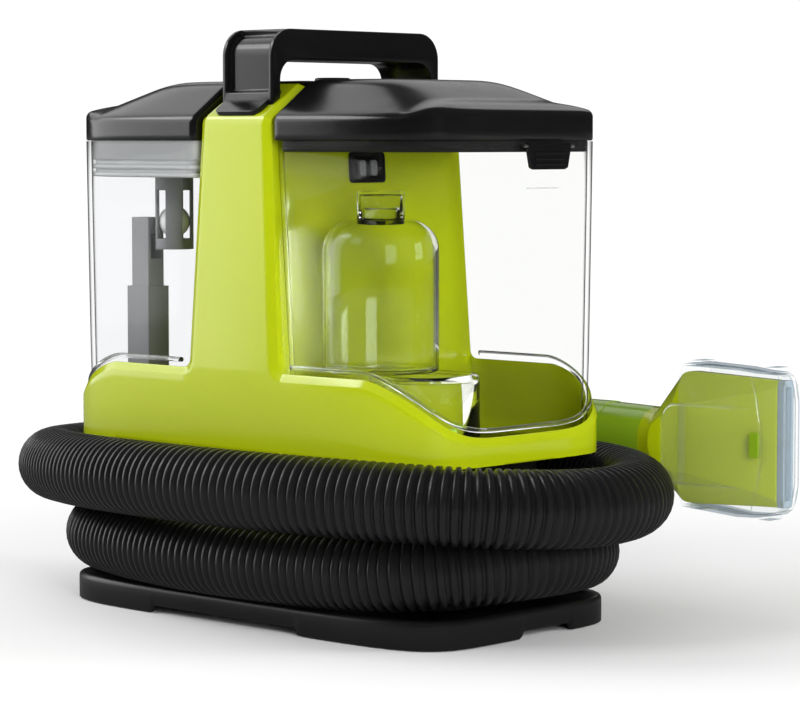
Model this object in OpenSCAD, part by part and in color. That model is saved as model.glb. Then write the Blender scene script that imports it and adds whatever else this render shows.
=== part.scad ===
// Spot extractor: a portable carpet and upholstery washer with two lift-off tanks,
// a wound suction hose and a parked hand tool. Millimetres, +Z up, front faces -Y,
// origin at the centre of the base on the floor.

/* [Overall] */
// Length of the base flange along X
base_length = 300.4; // [296:0.2:304]
// Depth of the base flange along Y
base_depth = 167.8; // [166:0.2:170]
// Exponent of the rounded plan outline: higher is squarer
plan_power = 6.2; // [5.6:0.1:6.8]
// Height of the handle's top above the floor
handle_top = 330; // [326:1:340]
// Thickness of the moulded walls
wall = 2.5; // [2.2:0.1:2.8]

/* [Housing] */
// Height of the base flange
base_height = 16; // [15:0.5:16.5]
// Underside of the green housing
housing_bottom = 96; // [95.5:0.5:96.5]
// Rim height beside the tower, front and back
rim_high = 142; // [136:0.5:144]
// Rim height along the outer sides
rim_low = 109.5; // [106:0.5:112]

/* [Tower] */
// Half-width of the tower at the fold of its front face
tower_half_top = 27; // [26:0.5:27.5]
// Half-width of the tower at the rim
tower_half_rim = 35.5; // [34.5:0.5:36]
// Height of the fold where the top chamfer starts
fold_z = 281; // [279:0.5:283]
// Height of the tower's flat top
tower_top = 299.5; // [298.5:0.5:300]

/* [Tanks and lids] */
// Underside of the lid bands, which rest on the tanks
lid_bottom = 268.4; // [266:0.2:270]
// Height of the flat top of the lids
lid_top = 302; // [301:0.5:303]
// Wall of the clear tanks
tank_wall = 2.2; // [1.8:0.1:2.4]
// Radius of the detergent bottle
bottle_r = 31.8; // [28:0.2:32]

/* [Hose] */
// Outside radius of the suction hose
hose_r = 21; // [19:0.25:21]
// Wall of the suction hose
hose_wall = 2.4; // [1.6:0.2:4]
// Half-length of the lower winding's centre line
lower_half_x = 162; // [161:0.5:163]
// Half-depth of the lower winding's centre line at the front
lower_half_y = 89; // [88.5:0.5:90]
// Half-length of the upper winding's centre line
upper_half_x = 195; // [194:0.5:196]
// Half-depth of the upper winding's centre line at the front
upper_half_y = 119; // [118:0.5:120]

/* [Hand tool] */
// Distance of the parked tool's axis behind the centre
tool_y = 132; // [132:0.5:134]
// Height of the parked tool's axis
tool_z = 98; // [98:0.5:99]
// Outside radius of the tool's grip
grip_r = 19.4; // [18:0.2:19.4]

/* [Hidden] */
$fn = 64;
eps = 0.02;

lime = "yellowgreen";
black = "#1c1c1c";
clear = [0.85, 0.9, 0.92, 0.35];
smoke = [0.45, 0.47, 0.47, 0.45];

base_a = base_length / 2;
base_b = base_depth / 2;
body_a = base_a - 2.5;
body_b = base_b - 2.5;
deck_top = housing_bottom + 3;
waist_a = 124;
waist_b = 50;
foot_lift = 1;
seat_gap = 0.3;

// Tanks stand inside the rim and lean with the tower's sides.
tank_a = body_a - wall - seat_gap;
tank_b = body_b - wall - seat_gap;
lid_a = tank_a + 0.5;
lid_b = tank_b + 0.5;
tank_bottom = deck_top + 0.4;
tank_floor = tank_bottom + 3;
tank_top = lid_bottom - 0.2;
tank_side_gap = 2.5;
tower_slope = (tower_half_rim - tower_half_top) / (fold_z - 139);

// Chamfer shared by the tower and the lids, front and back.
chamfer_y = 49.5;
tower_front_fold = 78;
tower_front_rim = 81;
lid_inner_x = 30.5;

boss_x = 100;
boss_y = -32;
valve_x = 114;
valve_y = -24;
boss_r = 30.2;
boss_top = 143;
bottle_x = 75;
bottle_y = -40;
valve_r = 8;

motor_r = 38;
duct_r = 14;
duct_elbow_z = 226;
impeller_z = 76;
shaft_r = 4;

catch_y = -2.5;
catch_z = 253.5;
catch_depth = 29;
catch_height = 17.5;

latch_y = 15;
latch_z = 265.6;
latch_half = 18;
pin_r = 1;
run_gap = 0.06;

riser_x = -107;
riser_y = -45;
float_x = -84;
float_y = -45;

spool_top = 258;
spool_bottom = 172;
hook_spigot_r = 4;
boot_r = 4.9;

function signed_power(v, p) = sign(v) * pow(abs(v), p);

// Rounded plan outline with half-length a and half-depth b.
function plan(a, b, count = 64) = [
    for (i = [0 : count - 1])
        let (t = 360 * i / count)
        [a * signed_power(cos(t), 2 / plan_power), b * signed_power(sin(t), 2 / plan_power)]
];

// Rim height at a distance x from the middle: level, then a falling shoulder.
shoulder_x = 97;
shoulder_end = 148;
shoulder_power = 1.5;
function rim_z(x) =
    let (t = min(1, max(0, (abs(x) - shoulder_x) / (shoulder_end - shoulder_x))))
    rim_low + (rim_high - rim_low) * pow(1 - pow(t, shoulder_power), 1 / shoulder_power);

// Half-width of the tower, and of a tank's inner side, at a height z.
function tower_half(z) = tower_half_top + (fold_z - z) * tower_slope;
function tank_inner(z) = tower_half(z) + tank_side_gap;

// Roof of a lid at a distance x from the middle: level, then an arc, then a slope.
roof_flat = 87;
roof_r = 75;
roof_angle = 19;
function roof_z(x) =
    x < roof_flat ? lid_top
    : x < roof_flat + roof_r * sin(roof_angle)
        ? lid_top - roof_r + sqrt(pow(roof_r, 2) - pow(x - roof_flat, 2))
        : lid_top - roof_r * (1 - cos(roof_angle))
            - (x - roof_flat - roof_r * sin(roof_angle)) * tan(roof_angle);

module prism(points, z0, z1) {
    translate([0, 0, z0])
        linear_extrude(z1 - z0)
            polygon(points);
}

module ring(outer, inner, z0, z1) {
    translate([0, 0, z0])
        difference() {
            cylinder(r = outer, h = z1 - z0);
            translate([0, 0, -1])
                cylinder(r = inner, h = z1 - z0 + 2);
        }
}

module rod(radius, z0, z1) {
    translate([0, 0, z0])
        cylinder(r = radius, h = z1 - z0);
}

module block(low, high) {
    translate(low)
        cube(high - low);
}

// Turns a shape drawn along +Z so that it runs along +X.
module along_x() {
    rotate([0, 90, 0])
        children();
}

// Turns a shape drawn along +Z so that it runs along +Y.
module along_y() {
    rotate([-90, 0, 0])
        children();
}

// Extrudes an outline drawn in X and Z along the depth of the machine.
module front_outline(points, y0, y1) {
    translate([0, y1, 0])
        rotate([90, 0, 0])
            linear_extrude(y1 - y0)
                polygon(points);
}

// Extrudes an outline drawn in Y and Z along the length of the machine.
module side_outline(points, x0, x1) {
    translate([x0, 0, 0])
        rotate([90, 0, 90])
            linear_extrude(x1 - x0)
                polygon(points);
}

// ---------- Base ----------

base_screw_r = 2.1;
screw_top = base_height + 9;
screw_x = 105;
screw_row = 36;
skirt_wall = 3;
floor_bottom = base_height - 3;

module base_tray() {
    color(black)
    difference() {
        prism(plan(base_a, base_b), foot_lift, base_height);
        prism(plan(base_a - skirt_wall, base_b - skirt_wall), 0, floor_bottom);
        // Lifted stretches of the skirt, which leave four standing corners.
        block([-64, -base_b - 1, 0], [54, base_b + 1, 5]);
        block([-base_a - 1, -10, 0], [base_a + 1, 34, 5]);
        at_base_screws()
            rod(base_screw_r, 0, base_height + 1);
    }
}

module rubber_feet() {
    color("dimgray")
    for (x = [-118, 118], y = [-58, 58])
        translate([x, y, 0])
            rod(11, 0, floor_bottom);
}

module at_base_screws() {
    for (x = [-screw_x, screw_x], y = [-screw_row, screw_row])
        translate([x, y, 0])
            children();
}

module base_screws() {
    color("silver")
    at_base_screws() {
        rod(4, floor_bottom - 2.4, floor_bottom);
        rod(base_screw_r, floor_bottom, screw_top);
    }
}

// Recessed waist that the hose is wound around.
module lower_shell() {
    color(black)
    difference() {
        union() {
            difference() {
                prism(plan(waist_a, waist_b), base_height, housing_bottom);
                prism(plan(waist_a - wall, waist_b - wall), base_height - 1, housing_bottom + 1);
            }
            at_base_screws()
                rod(5, base_height, screw_top + 3);
            // Webs that tie the screw posts to the wall.
            for (x = [-screw_x, screw_x], side = [-1, 1])
                mirror([0, side < 0 ? 1 : 0, 0])
                    block([x - 1.2, screw_row, base_height], [x + 1.2, screw_row + 9, screw_top + 3]);
        }
        at_base_screws()
            rod(base_screw_r, base_height - 1, screw_top);
    }
}

// ---------- Housing and tower ----------

module above_rim() {
    steps = 12;
    span = shoulder_end - shoulder_x;
    right = [for (i = [0 : steps]) let (x = shoulder_x + span * sin(90 * i / steps)) [x, rim_z(x)]];
    left = [for (i = [steps : -1 : 0]) [-right[i][0], right[i][1]]];
    edge = base_a + 10;
    front_outline(concat(
        [[-edge, rim_high + 20], [-edge, rim_low]], left, right,
        [[edge, rim_low], [edge, rim_high + 20]]
    ), -base_b - 10, base_b + 10);
}

module main_housing() {
    color(lime)
    difference() {
        union() {
            difference() {
                prism(plan(body_a, body_b), housing_bottom, rim_high + eps);
                prism(plan(body_a - wall, body_b - wall), deck_top, rim_high + 1);
                above_rim();
            }
            // Valve pin under the clean tank.
            translate([valve_x, valve_y, 0])
                rod(6, deck_top - eps, deck_top + 0.3);
        }
        // Opening for the air duct and the wiring.
        translate([0, 0, housing_bottom - 1])
            cylinder(r = duct_r + 0.5, h = 6);
        block([-12, -60, housing_bottom - 1], [12, -40, deck_top + 1]);
        // Supply bore under the clean tank's valve.
        translate([valve_x, valve_y, 0])
            rod(3, housing_bottom - 1, deck_top + 1);
        // Exhaust opening in the back wall.
        block([-62, body_b - wall - 1, 108], [-22, body_b + 1, 128]);
        // Suction inlet under the dirty tank.
        translate([riser_x, riser_y, 0])
            rod(6, housing_bottom - 1, deck_top + 1);
    }
}

// Outline of the tower from the front, pulled in by an inset.
function tower_front_points(inset, z0, z1) = [
    [-tower_half(z0) + inset, z0], [tower_half(z0) - inset, z0],
    [tower_half(z1) - inset, z1], [-tower_half(z1) + inset, z1]
];

// Outline of the tower from the side, pulled in by an inset.
function tower_side_points(inset, z0) =
    let (
        seat = tank_b - inset,
        rim = tower_front_rim - inset,
        fold = tower_front_fold - inset,
        flat = chamfer_y - inset / 2,
        top = tower_top - inset,
        step = rim_high + 0.1 + inset
    )
    [
        [-seat, z0], [-seat, step], [-rim, step], [-fold, fold_z - inset / 2], [-flat, top],
        [flat, top], [fold, fold_z - inset / 2], [rim, step], [seat, step], [seat, z0]
    ];

module tower_form(inset, z0) {
    intersection() {
        side_outline(tower_side_points(inset, z0), -60, 60);
        front_outline(tower_front_points(inset, z0, tower_top + 5), -base_b, base_b);
    }
}

module tower_shell() {
    color(lime)
    difference() {
        tower_form(0, deck_top);
        tower_form(wall, deck_top - 1);
        // Windows for the tank catches in both sides.
        block([-60, catch_y - catch_depth / 2, catch_z - catch_height / 2],
            [60, catch_y + catch_depth / 2, catch_z + catch_height / 2]);
        // Hole for the power button.
        rod(button_r + 0.1, tower_top - wall - 1, tower_top + 1);
        handle_screw_rods(screw_r + run_gap, 280, tower_top + 1);
        // Holes for the cord hooks in the back wall.
        for (z = [spool_bottom, spool_top])
            translate([coil_x, 70, z])
                along_y()
                    cylinder(r = hook_spigot_r + run_gap, h = 20);
        // Cord outlet in the back wall.
        translate([coil_x + coil_r, 70, boot_z])
            along_y()
                cylinder(r = boot_r, h = 20);
    }
}

module top_panel() {
    color(black)
    difference() {
        block([-22, -46, tower_top], [22, 46, tower_top + 2]);
        rod(button_r + 0.1, tower_top - 1, tower_top + 3);
    }
}

button_r = 10.3;

module power_button() {
    color("#303030")
    union() {
        rod(button_r, tower_top - 3, tower_top + 4.5);
        rod(button_r + 2.2, tower_top - 5.5, tower_top - 3);
    }
}

// ---------- Handle ----------

handle_half = 20;
handle_y = 67.8;
leg = 6.6;
grip_height = 17;
channel_bottom = 295;
screw_r = 1.8;
screw_y = handle_y - leg / 2;
chamfer_ratio = (tower_top - fold_z) / (tower_front_fold - chamfer_y);

// Height of the tower's chamfer at a distance y in front of or behind the middle.
function chamfer_z(y) = fold_z + (tower_front_fold - y) * chamfer_ratio;

// Rounded rectangle between two corners.
module rounded_box_2d(low, high, r) {
    translate([low[0] + r, low[1]])
        square([high[0] - low[0] - 2 * r, high[1] - low[1]]);
    translate([low[0], low[1] + r])
        square([high[0] - low[0], high[1] - low[1] - 2 * r]);
    for (x = [low[0] + r, high[0] - r], y = [low[1] + r, high[1] - r])
        translate([x, y])
            circle(r);
}

module handle_arch() {
    translate([-handle_half, 0, 0])
        rotate([90, 0, 90])
            linear_extrude(2 * handle_half)
                difference() {
                    rounded_box_2d([-handle_y, 260], [handle_y, handle_top], 15);
                    rounded_box_2d([-handle_y + leg, 240],
                        [handle_y - leg, handle_top - grip_height], 12);
                }
}

// Tongue that lies on the tower's chamfer below a leg.
module handle_tongue() {
    tip = tower_front_fold - 1.5;
    root = handle_y - leg;
    thick = 3;
    side_outline([
        [tip, chamfer_z(tip)], [root, chamfer_z(root)],
        [root, chamfer_z(root) + thick], [tip, chamfer_z(tip) + thick]
    ], -17, 17);
}

module handle_screw_rods(radius, z0, z1) {
    for (x = [-9, 9], side = [-1, 1])
        translate([x, side * screw_y, 0])
            rod(radius, z0, z1);
}

module handle() {
    color(black)
    difference() {
        union() {
            difference() {
                handle_arch();
                // The feet stand on the tower's chamfers.
                side_outline([
                    [-handle_y - 5, chamfer_z(handle_y + 5)], [-chamfer_y, tower_top],
                    [chamfer_y, tower_top], [handle_y + 5, chamfer_z(handle_y + 5)],
                    [handle_y + 5, 200], [-handle_y - 5, 200]
                ], -30, 30);
            }
            handle_tongue();
            mirror([0, 1, 0])
                handle_tongue();
        }
        // Channels in the outer faces of both legs.
        for (side = [-1, 1])
            translate([0, side * handle_y, 0])
                block([-16, -3.4, channel_bottom], [16, 3.4, 319]);
        handle_screw_rods(screw_r + run_gap, 270, channel_bottom);
    }
}

module handle_screws() {
    color("silver")
    union() {
        handle_screw_rods(screw_r, 284.3, channel_bottom - 0.5);
        handle_screw_rods(3.2, 282, 284.3);
    }
}

// ---------- Tanks ----------

// Everything outside the leaning inner side of a tank on the right.
module tank_side(inset, z0, z1) {
    front_outline([
        [tank_inner(z0) + inset, z0], [tank_inner(z1) + inset, z1],
        [base_a + 10, z1], [base_a + 10, z0]
    ], -base_b - 5, base_b + 5);
}

module tank_form(inset, z0, z1) {
    intersection() {
        prism(plan(tank_a - inset, tank_b - inset), z0, z1);
        tank_side(inset, z0, z1);
    }
}

module tank_shell() {
    difference() {
        tank_form(0, tank_bottom, tank_top);
        tank_form(tank_wall, tank_floor, tank_top + 1);
    }
}

module clean_tank() {
    color(clear)
    difference() {
        tank_shell();
        translate([valve_x, valve_y, 0])
            rod(valve_r, tank_bottom - 1, tank_floor + 1);
    }
}

module dirty_tank() {
    color(smoke)
    difference() {
        mirror([1, 0, 0])
            tank_shell();
        translate([riser_x, riser_y, 0])
            rod(6, tank_bottom - 1, tank_floor + 1);
    }
}

// Outside shape of the right lid, pulled in by an inset.
module lid_form(inset, z0) {
    a = lid_a - inset;
    b = lid_b - inset;
    arc_run = roof_r * sin(roof_angle);
    roof_x = concat([lid_inner_x + inset], [for (i = [0 : 6]) roof_flat + arc_run * i / 6], [a]);
    intersection() {
        prism(plan(a, b), z0, lid_top + 1);
        front_outline(concat(
            [[a, z0], [lid_inner_x + inset, z0]],
            [for (x = roof_x) [x, roof_z(x) - inset]]
        ), -base_b, base_b);
        side_outline([
            [-b, z0], [-b, fold_z - inset / 2], [-chamfer_y - inset / 2, lid_top - inset],
            [chamfer_y + inset / 2, lid_top - inset], [b, fold_z - inset / 2], [b, z0]
        ], 0, base_a + 10);
    }
}

plug_gap = 0.3;
plug_bottom = 262.4;
seal_low = 264;
seal_high = 266.4;
seal_depth = 1.6;

// Ring that fits inside the top of a tank.
module plug_ring(outset, inset, z0, z1) {
    difference() {
        tank_form(outset, z0, z1);
        tank_form(inset, z0 - 1, z1 + 1);
    }
}

module lid_shell() {
    difference() {
        lid_form(0, lid_bottom);
        difference() {
            lid_form(wall, lid_bottom - 1);
            // Solid margin that rests on the tank's rim.
            plug_ring(-6, tank_wall + 6, lid_bottom - 2, lid_bottom + 2.6);
        }
    }
}

// Two ears on the lid's band that reach out and down to carry a latch.
module latch_ears() {
    for (side = [-1, 1])
        translate([0, latch_y + side * (latch_half + 1.6), 0])
            difference() {
                union() {
                    block([tank_a + 0.4, -1.4, latch_z - 2.4], [latch_x + 2, 1.4, lid_bottom + 3]);
                    block([lid_a - 2, -1.4, lid_bottom], [lid_a + 0.2, 1.4, lid_bottom + 3]);
                }
                translate([latch_x, -5, latch_z])
                    along_y()
                        cylinder(r = pin_r, h = 10);
            }
}
latch_x = tank_a + 2.4;

module clean_lid() {
    color(black)
    union() {
        lid_shell();
        difference() {
            plug_ring(tank_wall + plug_gap, tank_wall + 4.5, plug_bottom, lid_bottom + eps);
            plug_ring(tank_wall - 1, tank_wall + plug_gap + seal_depth, seal_low, seal_high);
        }
        latch_ears();
    }
}

module clean_seal() {
    color("#151515")
    plug_ring(tank_wall + 0.1, tank_wall + plug_gap + seal_depth, seal_low, seal_high);
}

// Ribbed clip that hangs over the tank's outer face.
module latch() {
    face = tank_a + 0.5;
    difference() {
        union() {
            translate([latch_x, latch_y - latch_half, latch_z])
                along_y()
                    cylinder(r = 2, h = 2 * latch_half);
            block([face, latch_y - latch_half, 252.6], [face + 2.6, latch_y + latch_half, latch_z]);
            for (i = [0 : 2])
                block([face + 2.6 - eps, latch_y - 13, 254.5 + 3 * i],
                    [face + 3.5, latch_y + 13, 255.9 + 3 * i]);
        }
        translate([latch_x, latch_y - latch_half - 1, latch_z])
            along_y()
                cylinder(r = pin_r + run_gap, h = 2 * latch_half + 2);
    }
}

module latch_pin() {
    translate([latch_x, latch_y - latch_half - 3, latch_z])
        along_y()
            cylinder(r = pin_r, h = 2 * latch_half + 6);
}

module clean_latch() {
    color("#262626")
    latch();
}

module clean_latch_pin() {
    color("silver")
    latch_pin();
}

module dirty_latch() {
    color("#262626")
    mirror([1, 0, 0])
        latch();
}

module dirty_latch_pin() {
    color("silver")
    mirror([1, 0, 0])
        latch_pin();
}

collar_ribs_bottom = 248;

module dirty_lid() {
    color(black)
    mirror([1, 0, 0])
        union() {
            lid_shell();
            latch_ears();
        }
}

// Light collar with two sealing ribs, fixed under the dirty lid.
module dirty_collar() {
    color("lightgray")
    mirror([1, 0, 0])
        difference() {
            union() {
                tank_form(tank_wall + plug_gap, collar_ribs_bottom + 2, lid_bottom);
                for (z = [collar_ribs_bottom, collar_ribs_bottom + 4.5])
                    tank_form(tank_wall + 0.1, z, z + 2.4);
            }
            // The hollow stops below the bridge that carries the float cage.
            tank_form(tank_wall + 5, collar_ribs_bottom - 1, lid_bottom - 3);
            translate([-float_x, float_y, 0])
                rod(6, lid_bottom - 5, lid_bottom + 1);
        }
}

module riser_duct() {
    color("gainsboro")
    difference() {
        union() {
            block([riser_x - 9, riser_y - 8, tank_floor], [riser_x + 9, riser_y + 8, 184]);
            block([riser_x - 7, riser_y - 6, 184 - eps], [riser_x + 7, riser_y + 6, 224]);
        }
        translate([riser_x, riser_y, 0])
            rod(5, tank_floor - 1, 216);
        // Outlet window below the closed top.
        block([riser_x + 3, riser_y - 4, 200], [riser_x + 8, riser_y + 4, 214]);
    }
}

cage_r = 11;
float_r = 9;
float_rest = 222;

module float_cage() {
    color("gainsboro")
    translate([float_x, float_y, 0])
        difference() {
            union() {
                ring(cage_r, float_r + 0.5, 208, lid_bottom - 3);
                ring(cage_r, float_r - 3, 206, 208 + eps);
            }
            for (angle = [0, 90])
                rotate([0, 0, angle])
                    block([-cage_r - 1, -3.5, 212], [cage_r + 1, 3.5, 240]);
        }
}

module float_ball() {
    color("white")
    translate([float_x, float_y, float_rest])
        sphere(r = float_r);
}

// ---------- Clean tank fittings ----------

module detergent_bottle() {
    color(clear)
    translate([bottle_x, bottle_y, 0])
        rotate_extrude()
            difference() {
                bottle_outline(0);
                bottle_outline(1.8);
            }
}

// Half outline of the bottle, pulled in by an inset.
module bottle_outline(inset) {
    r = bottle_r - inset;
    shoulder = 19;
    z0 = boss_top + 0.2 + inset;
    z1 = 222 - inset;
    translate([0, z0])
        square([r, z1 - shoulder - z0]);
    translate([0, z0])
        square([r - shoulder, z1 - z0]);
    intersection() {
        translate([r - shoulder, z1 - shoulder])
            circle(shoulder);
        translate([0, z1 - shoulder])
            square([r, shoulder]);
    }
    translate([0, z1 - 1 - inset])
        square([11 - inset, 12 + 4 * inset]);
}

module bottle_cap() {
    color(clear)
    translate([bottle_x, bottle_y, 0])
        difference() {
            rod(13, 222.5, 241.5);
            rod(11.1, 221, 239.5);
        }
}

// Clear cup over the valve that holds the filter and carries the bottle.
module filter_cup() {
    color(clear)
    translate([boss_x, boss_y, 0])
        difference() {
            rod(boss_r, tank_floor + 0.1, boss_top);
            rod(boss_r - 1.8, tank_floor - 1, boss_top - 1.8);
        }
}

// Poppet that closes the clean tank's outlet.
module tank_valve() {
    color("white")
    translate([valve_x, valve_y, 0])
        union() {
            rod(valve_r - 0.06, tank_bottom + 0.6, tank_floor);
            rod(valve_r + 1, tank_floor, tank_floor + 2);
            rod(2.5, tank_floor + 1, tank_floor + 18);
        }
}

module catch_block() {
    depth = tower_half(catch_z + catch_height / 2) - 0.2;
    block([depth - 8, catch_y - catch_depth / 2 + 0.1, catch_z - catch_height / 2 + 0.1],
        [depth, catch_y + catch_depth / 2 - 0.1, catch_z + catch_height / 2 - 0.1]);
}

module right_catch() {
    color("#101010")
    catch_block();
}

module left_catch() {
    color("#101010")
    mirror([1, 0, 0])
        catch_block();
}

// ---------- Hose ----------

hose_bore = hose_r - hose_wall;
lower_z = 38.5;
lower_rise = 7;
upper_z = 75.2;
front_rise = 7.5;
back_rise = 2.8;
right_lean = 2.5;
lower_end_r = 75;
upper_end_r = 93;
link_length = 120;

// Radius of the front arc that is tangent to two end arcs of radius r.
function front_radius(half_x, half_y, r) =
    (pow(half_x - r, 2) + half_y * half_y - r * r) / (2 * (half_y - r));

// Points along an arc around a centre, without the last one.
function arc_points(centre, bend, from_angle, to_angle, steps) = [
    for (i = [0 : steps - 1])
        let (t = from_angle + (to_angle - from_angle) * i / steps)
        centre + bend * [cos(t), sin(t)]
];

// One winding seen from above: two end arcs and the front arc, open along its straight back.
function winding_points(half_x, half_y, end_r) =
    let (
        front_r = front_radius(half_x, half_y, end_r),
        centre_x = half_x - end_r,
        tangent = asin(centre_x / (front_r - end_r))
    )
    concat(
        arc_points([centre_x, 0], end_r, 90, -90 + tangent, 11),
        arc_points([0, front_r - half_y], front_r, -90 + tangent, -90 - tangent, 6),
        arc_points([-centre_x, 0], end_r, 270 - tangent, 90, 11)
    );

// Double bend that carries the hose from one straight run to the next: [along, across] points.
function link_points(across) =
    let (
        bend = (pow(link_length, 2) + pow(across, 2)) / (4 * across),
        turn = 2 * atan(across / link_length)
    )
    concat(
        arc_points([0, bend], bend, -90, -90 + turn, 4),
        arc_points([link_length, across - bend], bend, 90 + turn, 90, 4)
    );

// The same bend placed between two straight runs, each given as [y, z].
function placed_link(from_x, from_yz, to_yz) =
    let (step = to_yz - from_yz, across = norm(step))
    [
        for (p = link_points(across))
            [from_x + p[0], from_yz[0] + step[0] * p[1] / across, from_yz[1] + step[1] * p[1] / across]
    ];

// The lower winding climbs round its right end, past the straight run from the port.
function lower_height(p) =
    lower_z + lower_rise * pow(max(0, p[0] - lower_x) / lower_end_r, 2);

// The upper winding is lowest at its two ends, and its right end leans towards the back.
function upper_height(p) =
    upper_z - right_lean * pow(max(0, p[0]) / upper_half_x, 2) * p[1] / upper_half_y
    + (p[1] < 0 ? front_rise * pow(p[1] / upper_half_y, 2)
        : back_rise * pow(p[1] / upper_end_r, 2));

// Closed tube along a path. An inner radius of 0 makes it solid.
module sweep(path, outer, inner, sides, up) {
    count = len(path);
    radii = inner > 0 ? [outer, inner / cos(180 / sides)] : [outer];
    function heading(i) = path[min(i + 1, count - 1)] - path[max(i - 1, 0)];
    function unit(v) = v / norm(v);
    points = [
        for (radius = radii, i = [0 : count - 1], k = [0 : sides - 1])
            let (
                ahead = unit(heading(i)),
                side = unit(cross(ahead, up)),
                over = cross(side, ahead),
                t = 360 * k / sides
            )
            path[i] + radius * (cos(t) * side + sin(t) * over)
    ];
    function at(layer, i, k) = (layer * count + i) * sides + k % sides;
    outside = [
        for (i = [0 : count - 2], k = [0 : sides - 1])
            [at(0, i, k), at(0, i, k + 1), at(0, i + 1, k + 1), at(0, i + 1, k)]
    ];
    inside = [
        for (i = [0 : count - 2], k = [0 : sides - 1])
            [at(1, i, k), at(1, i + 1, k), at(1, i + 1, k + 1), at(1, i, k + 1)]
    ];
    last = count - 1;
    rims = [
        for (k = [0 : sides - 1], end = [0, last])
            end == 0
                ? [at(0, 0, k), at(1, 0, k), at(1, 0, k + 1), at(0, 0, k + 1)]
                : [at(0, last, k), at(0, last, k + 1), at(1, last, k + 1), at(1, last, k)]
    ];
    caps = [[for (k = [sides - 1 : -1 : 0]) at(0, 0, k)], [for (k = [0 : sides - 1]) at(0, last, k)]];
    polyhedron(points, inner > 0 ? concat(outside, inside, rims) : concat(outside, caps));
}

lower_back = [lower_end_r, lower_z];
upper_back = [upper_end_r, upper_z + back_rise];
lower_x = lower_half_x - lower_end_r;
upper_x = upper_half_x - upper_end_r;
port_x = 45;
tool_x = -upper_x + link_length;

hose_path = concat(
    [[port_x, lower_back[0], lower_z]],
    [
        for (p = winding_points(lower_half_x, lower_half_y, lower_end_r))
            [p[0], p[1], lower_height(p)]
    ],
    placed_link(-lower_x, lower_back, upper_back),
    [[-lower_x + link_length, upper_back[0], upper_back[1]]],
    [
        for (p = winding_points(upper_half_x, upper_half_y, upper_end_r))
            [p[0], p[1], upper_height(p)]
    ],
    placed_link(-upper_x, upper_back, [tool_y, tool_z]),
    [[tool_x, tool_y, tool_z], [tool_x + 18, tool_y, tool_z]]
);

module suction_hose() {
    color("#262626")
    sweep(hose_path, hose_r, hose_bore, 14, [0, 0, 1]);
}

// Socket on the waist that takes the hose into the machine.
module hose_port() {
    back_y = lower_back[0];
    color(black)
    difference() {
        union() {
            translate([port_x - 23, back_y, lower_z])
                along_x()
                    cylinder(r = 20.9, h = 23);
            translate([port_x - eps, back_y, lower_z])
                along_x()
                    cylinder(r = hose_bore - 0.6, h = 15);
            block([port_x - 23, waist_b - 5, lower_z - 17], [port_x, back_y, lower_z + 17]);
        }
        prism(plan(waist_a, waist_b), 0, housing_bottom);
        translate([port_x - 19, back_y, lower_z])
            along_x()
                cylinder(r = 15, h = 40);
        block([port_x - 19, waist_b - 10, lower_z - 12], [port_x - 4, back_y, lower_z + 12]);
    }
}

module hose_cuff() {
    color("#202020")
    translate([port_x + 0.5, lower_back[0], lower_z])
        along_x()
            ring(hose_r + 1.4, hose_r + 0.3, 0, 16);
}

module tool_cuff() {
    color("#202020")
    translate([tool_x + 1, tool_y, tool_z])
        along_x()
            ring(hose_r + 1.4, hose_r + 0.3, 0, 17);
}

// ---------- Hand tool ----------

grip_start = tool_x + 20;
grip_end = grip_start + 62;
holder_x = grip_start + 3;
holder_width = 16;
neck_end = 138;
head_start = 155;
cover_start = 158;
mouth_x = 219;
lip_length = 4.5;

// Arm and open cradle that hold the parked tool.
module tool_holder() {
    color(black)
    difference() {
        union() {
            block([holder_x, body_b - 6, 101], [holder_x + holder_width, tool_y - grip_r, 104.5]);
            side_outline([
                [body_b - 6, 104], [tool_y - 30, 104], [body_b - 6, 128]
            ], holder_x + holder_width / 2 - 1.5, holder_x + holder_width / 2 + 1.5);
            difference() {
                translate([holder_x, tool_y, tool_z])
                    along_x()
                        cylinder(r = grip_r + 2.8, h = holder_width);
                block([holder_x - 1, tool_y - 40, tool_z + 6], [holder_x + 50, tool_y + 40, tool_z + 40]);
            }
        }
        prism(plan(body_a, body_b), 0, 200);
        translate([holder_x - 1, tool_y, tool_z])
            along_x()
                cylinder(r = grip_r + 0.1, h = holder_width + 2);
    }
}

pivot_x = grip_start + 26;
pivot_y = tool_y + grip_r + 3;
ear_z = 7.4;

module tool_grip() {
    color("darkolivegreen")
    difference() {
        union() {
            translate([grip_start, tool_y, tool_z])
                along_x()
                    cylinder(r = grip_r, h = grip_end - grip_start);
            translate([grip_start - 14, tool_y, tool_z])
                along_x()
                    cylinder(r = hose_bore - 0.6, h = 14 + eps);
            // Ears for the trigger's pin.
            for (side = [-1, 1])
                translate([pivot_x, 0, tool_z + side * (ear_z + 1)])
                    block([-4, tool_y + grip_r - 4, -1], [4, pivot_y + 3, 1]);
        }
        translate([grip_start - 15, tool_y, tool_z])
            along_x()
                cylinder(r = 14.5, h = grip_end - grip_start + 20);
        translate([pivot_x, pivot_y, tool_z - 20])
            cylinder(r = pin_r, h = 40);
    }
}

module trigger() {
    color("#262626")
    difference() {
        translate([0, 0, tool_z - ear_z + 0.2])
            linear_extrude(2 * ear_z - 0.4)
                union() {
                    polygon([
                        [pivot_x - 3, pivot_y - 2.2], [pivot_x, pivot_y - 2.4],
                        [pivot_x + 33, pivot_y + 4], [pivot_x + 33, pivot_y + 8],
                        [pivot_x, pivot_y + 2.8], [pivot_x - 3, pivot_y + 2.2]
                    ]);
                    translate([pivot_x + 32, pivot_y + 6])
                        circle(3);
                }
        translate([pivot_x, pivot_y, 0])
            rod(pin_r + run_gap, tool_z - 20, tool_z + 20);
    }
}

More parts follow.
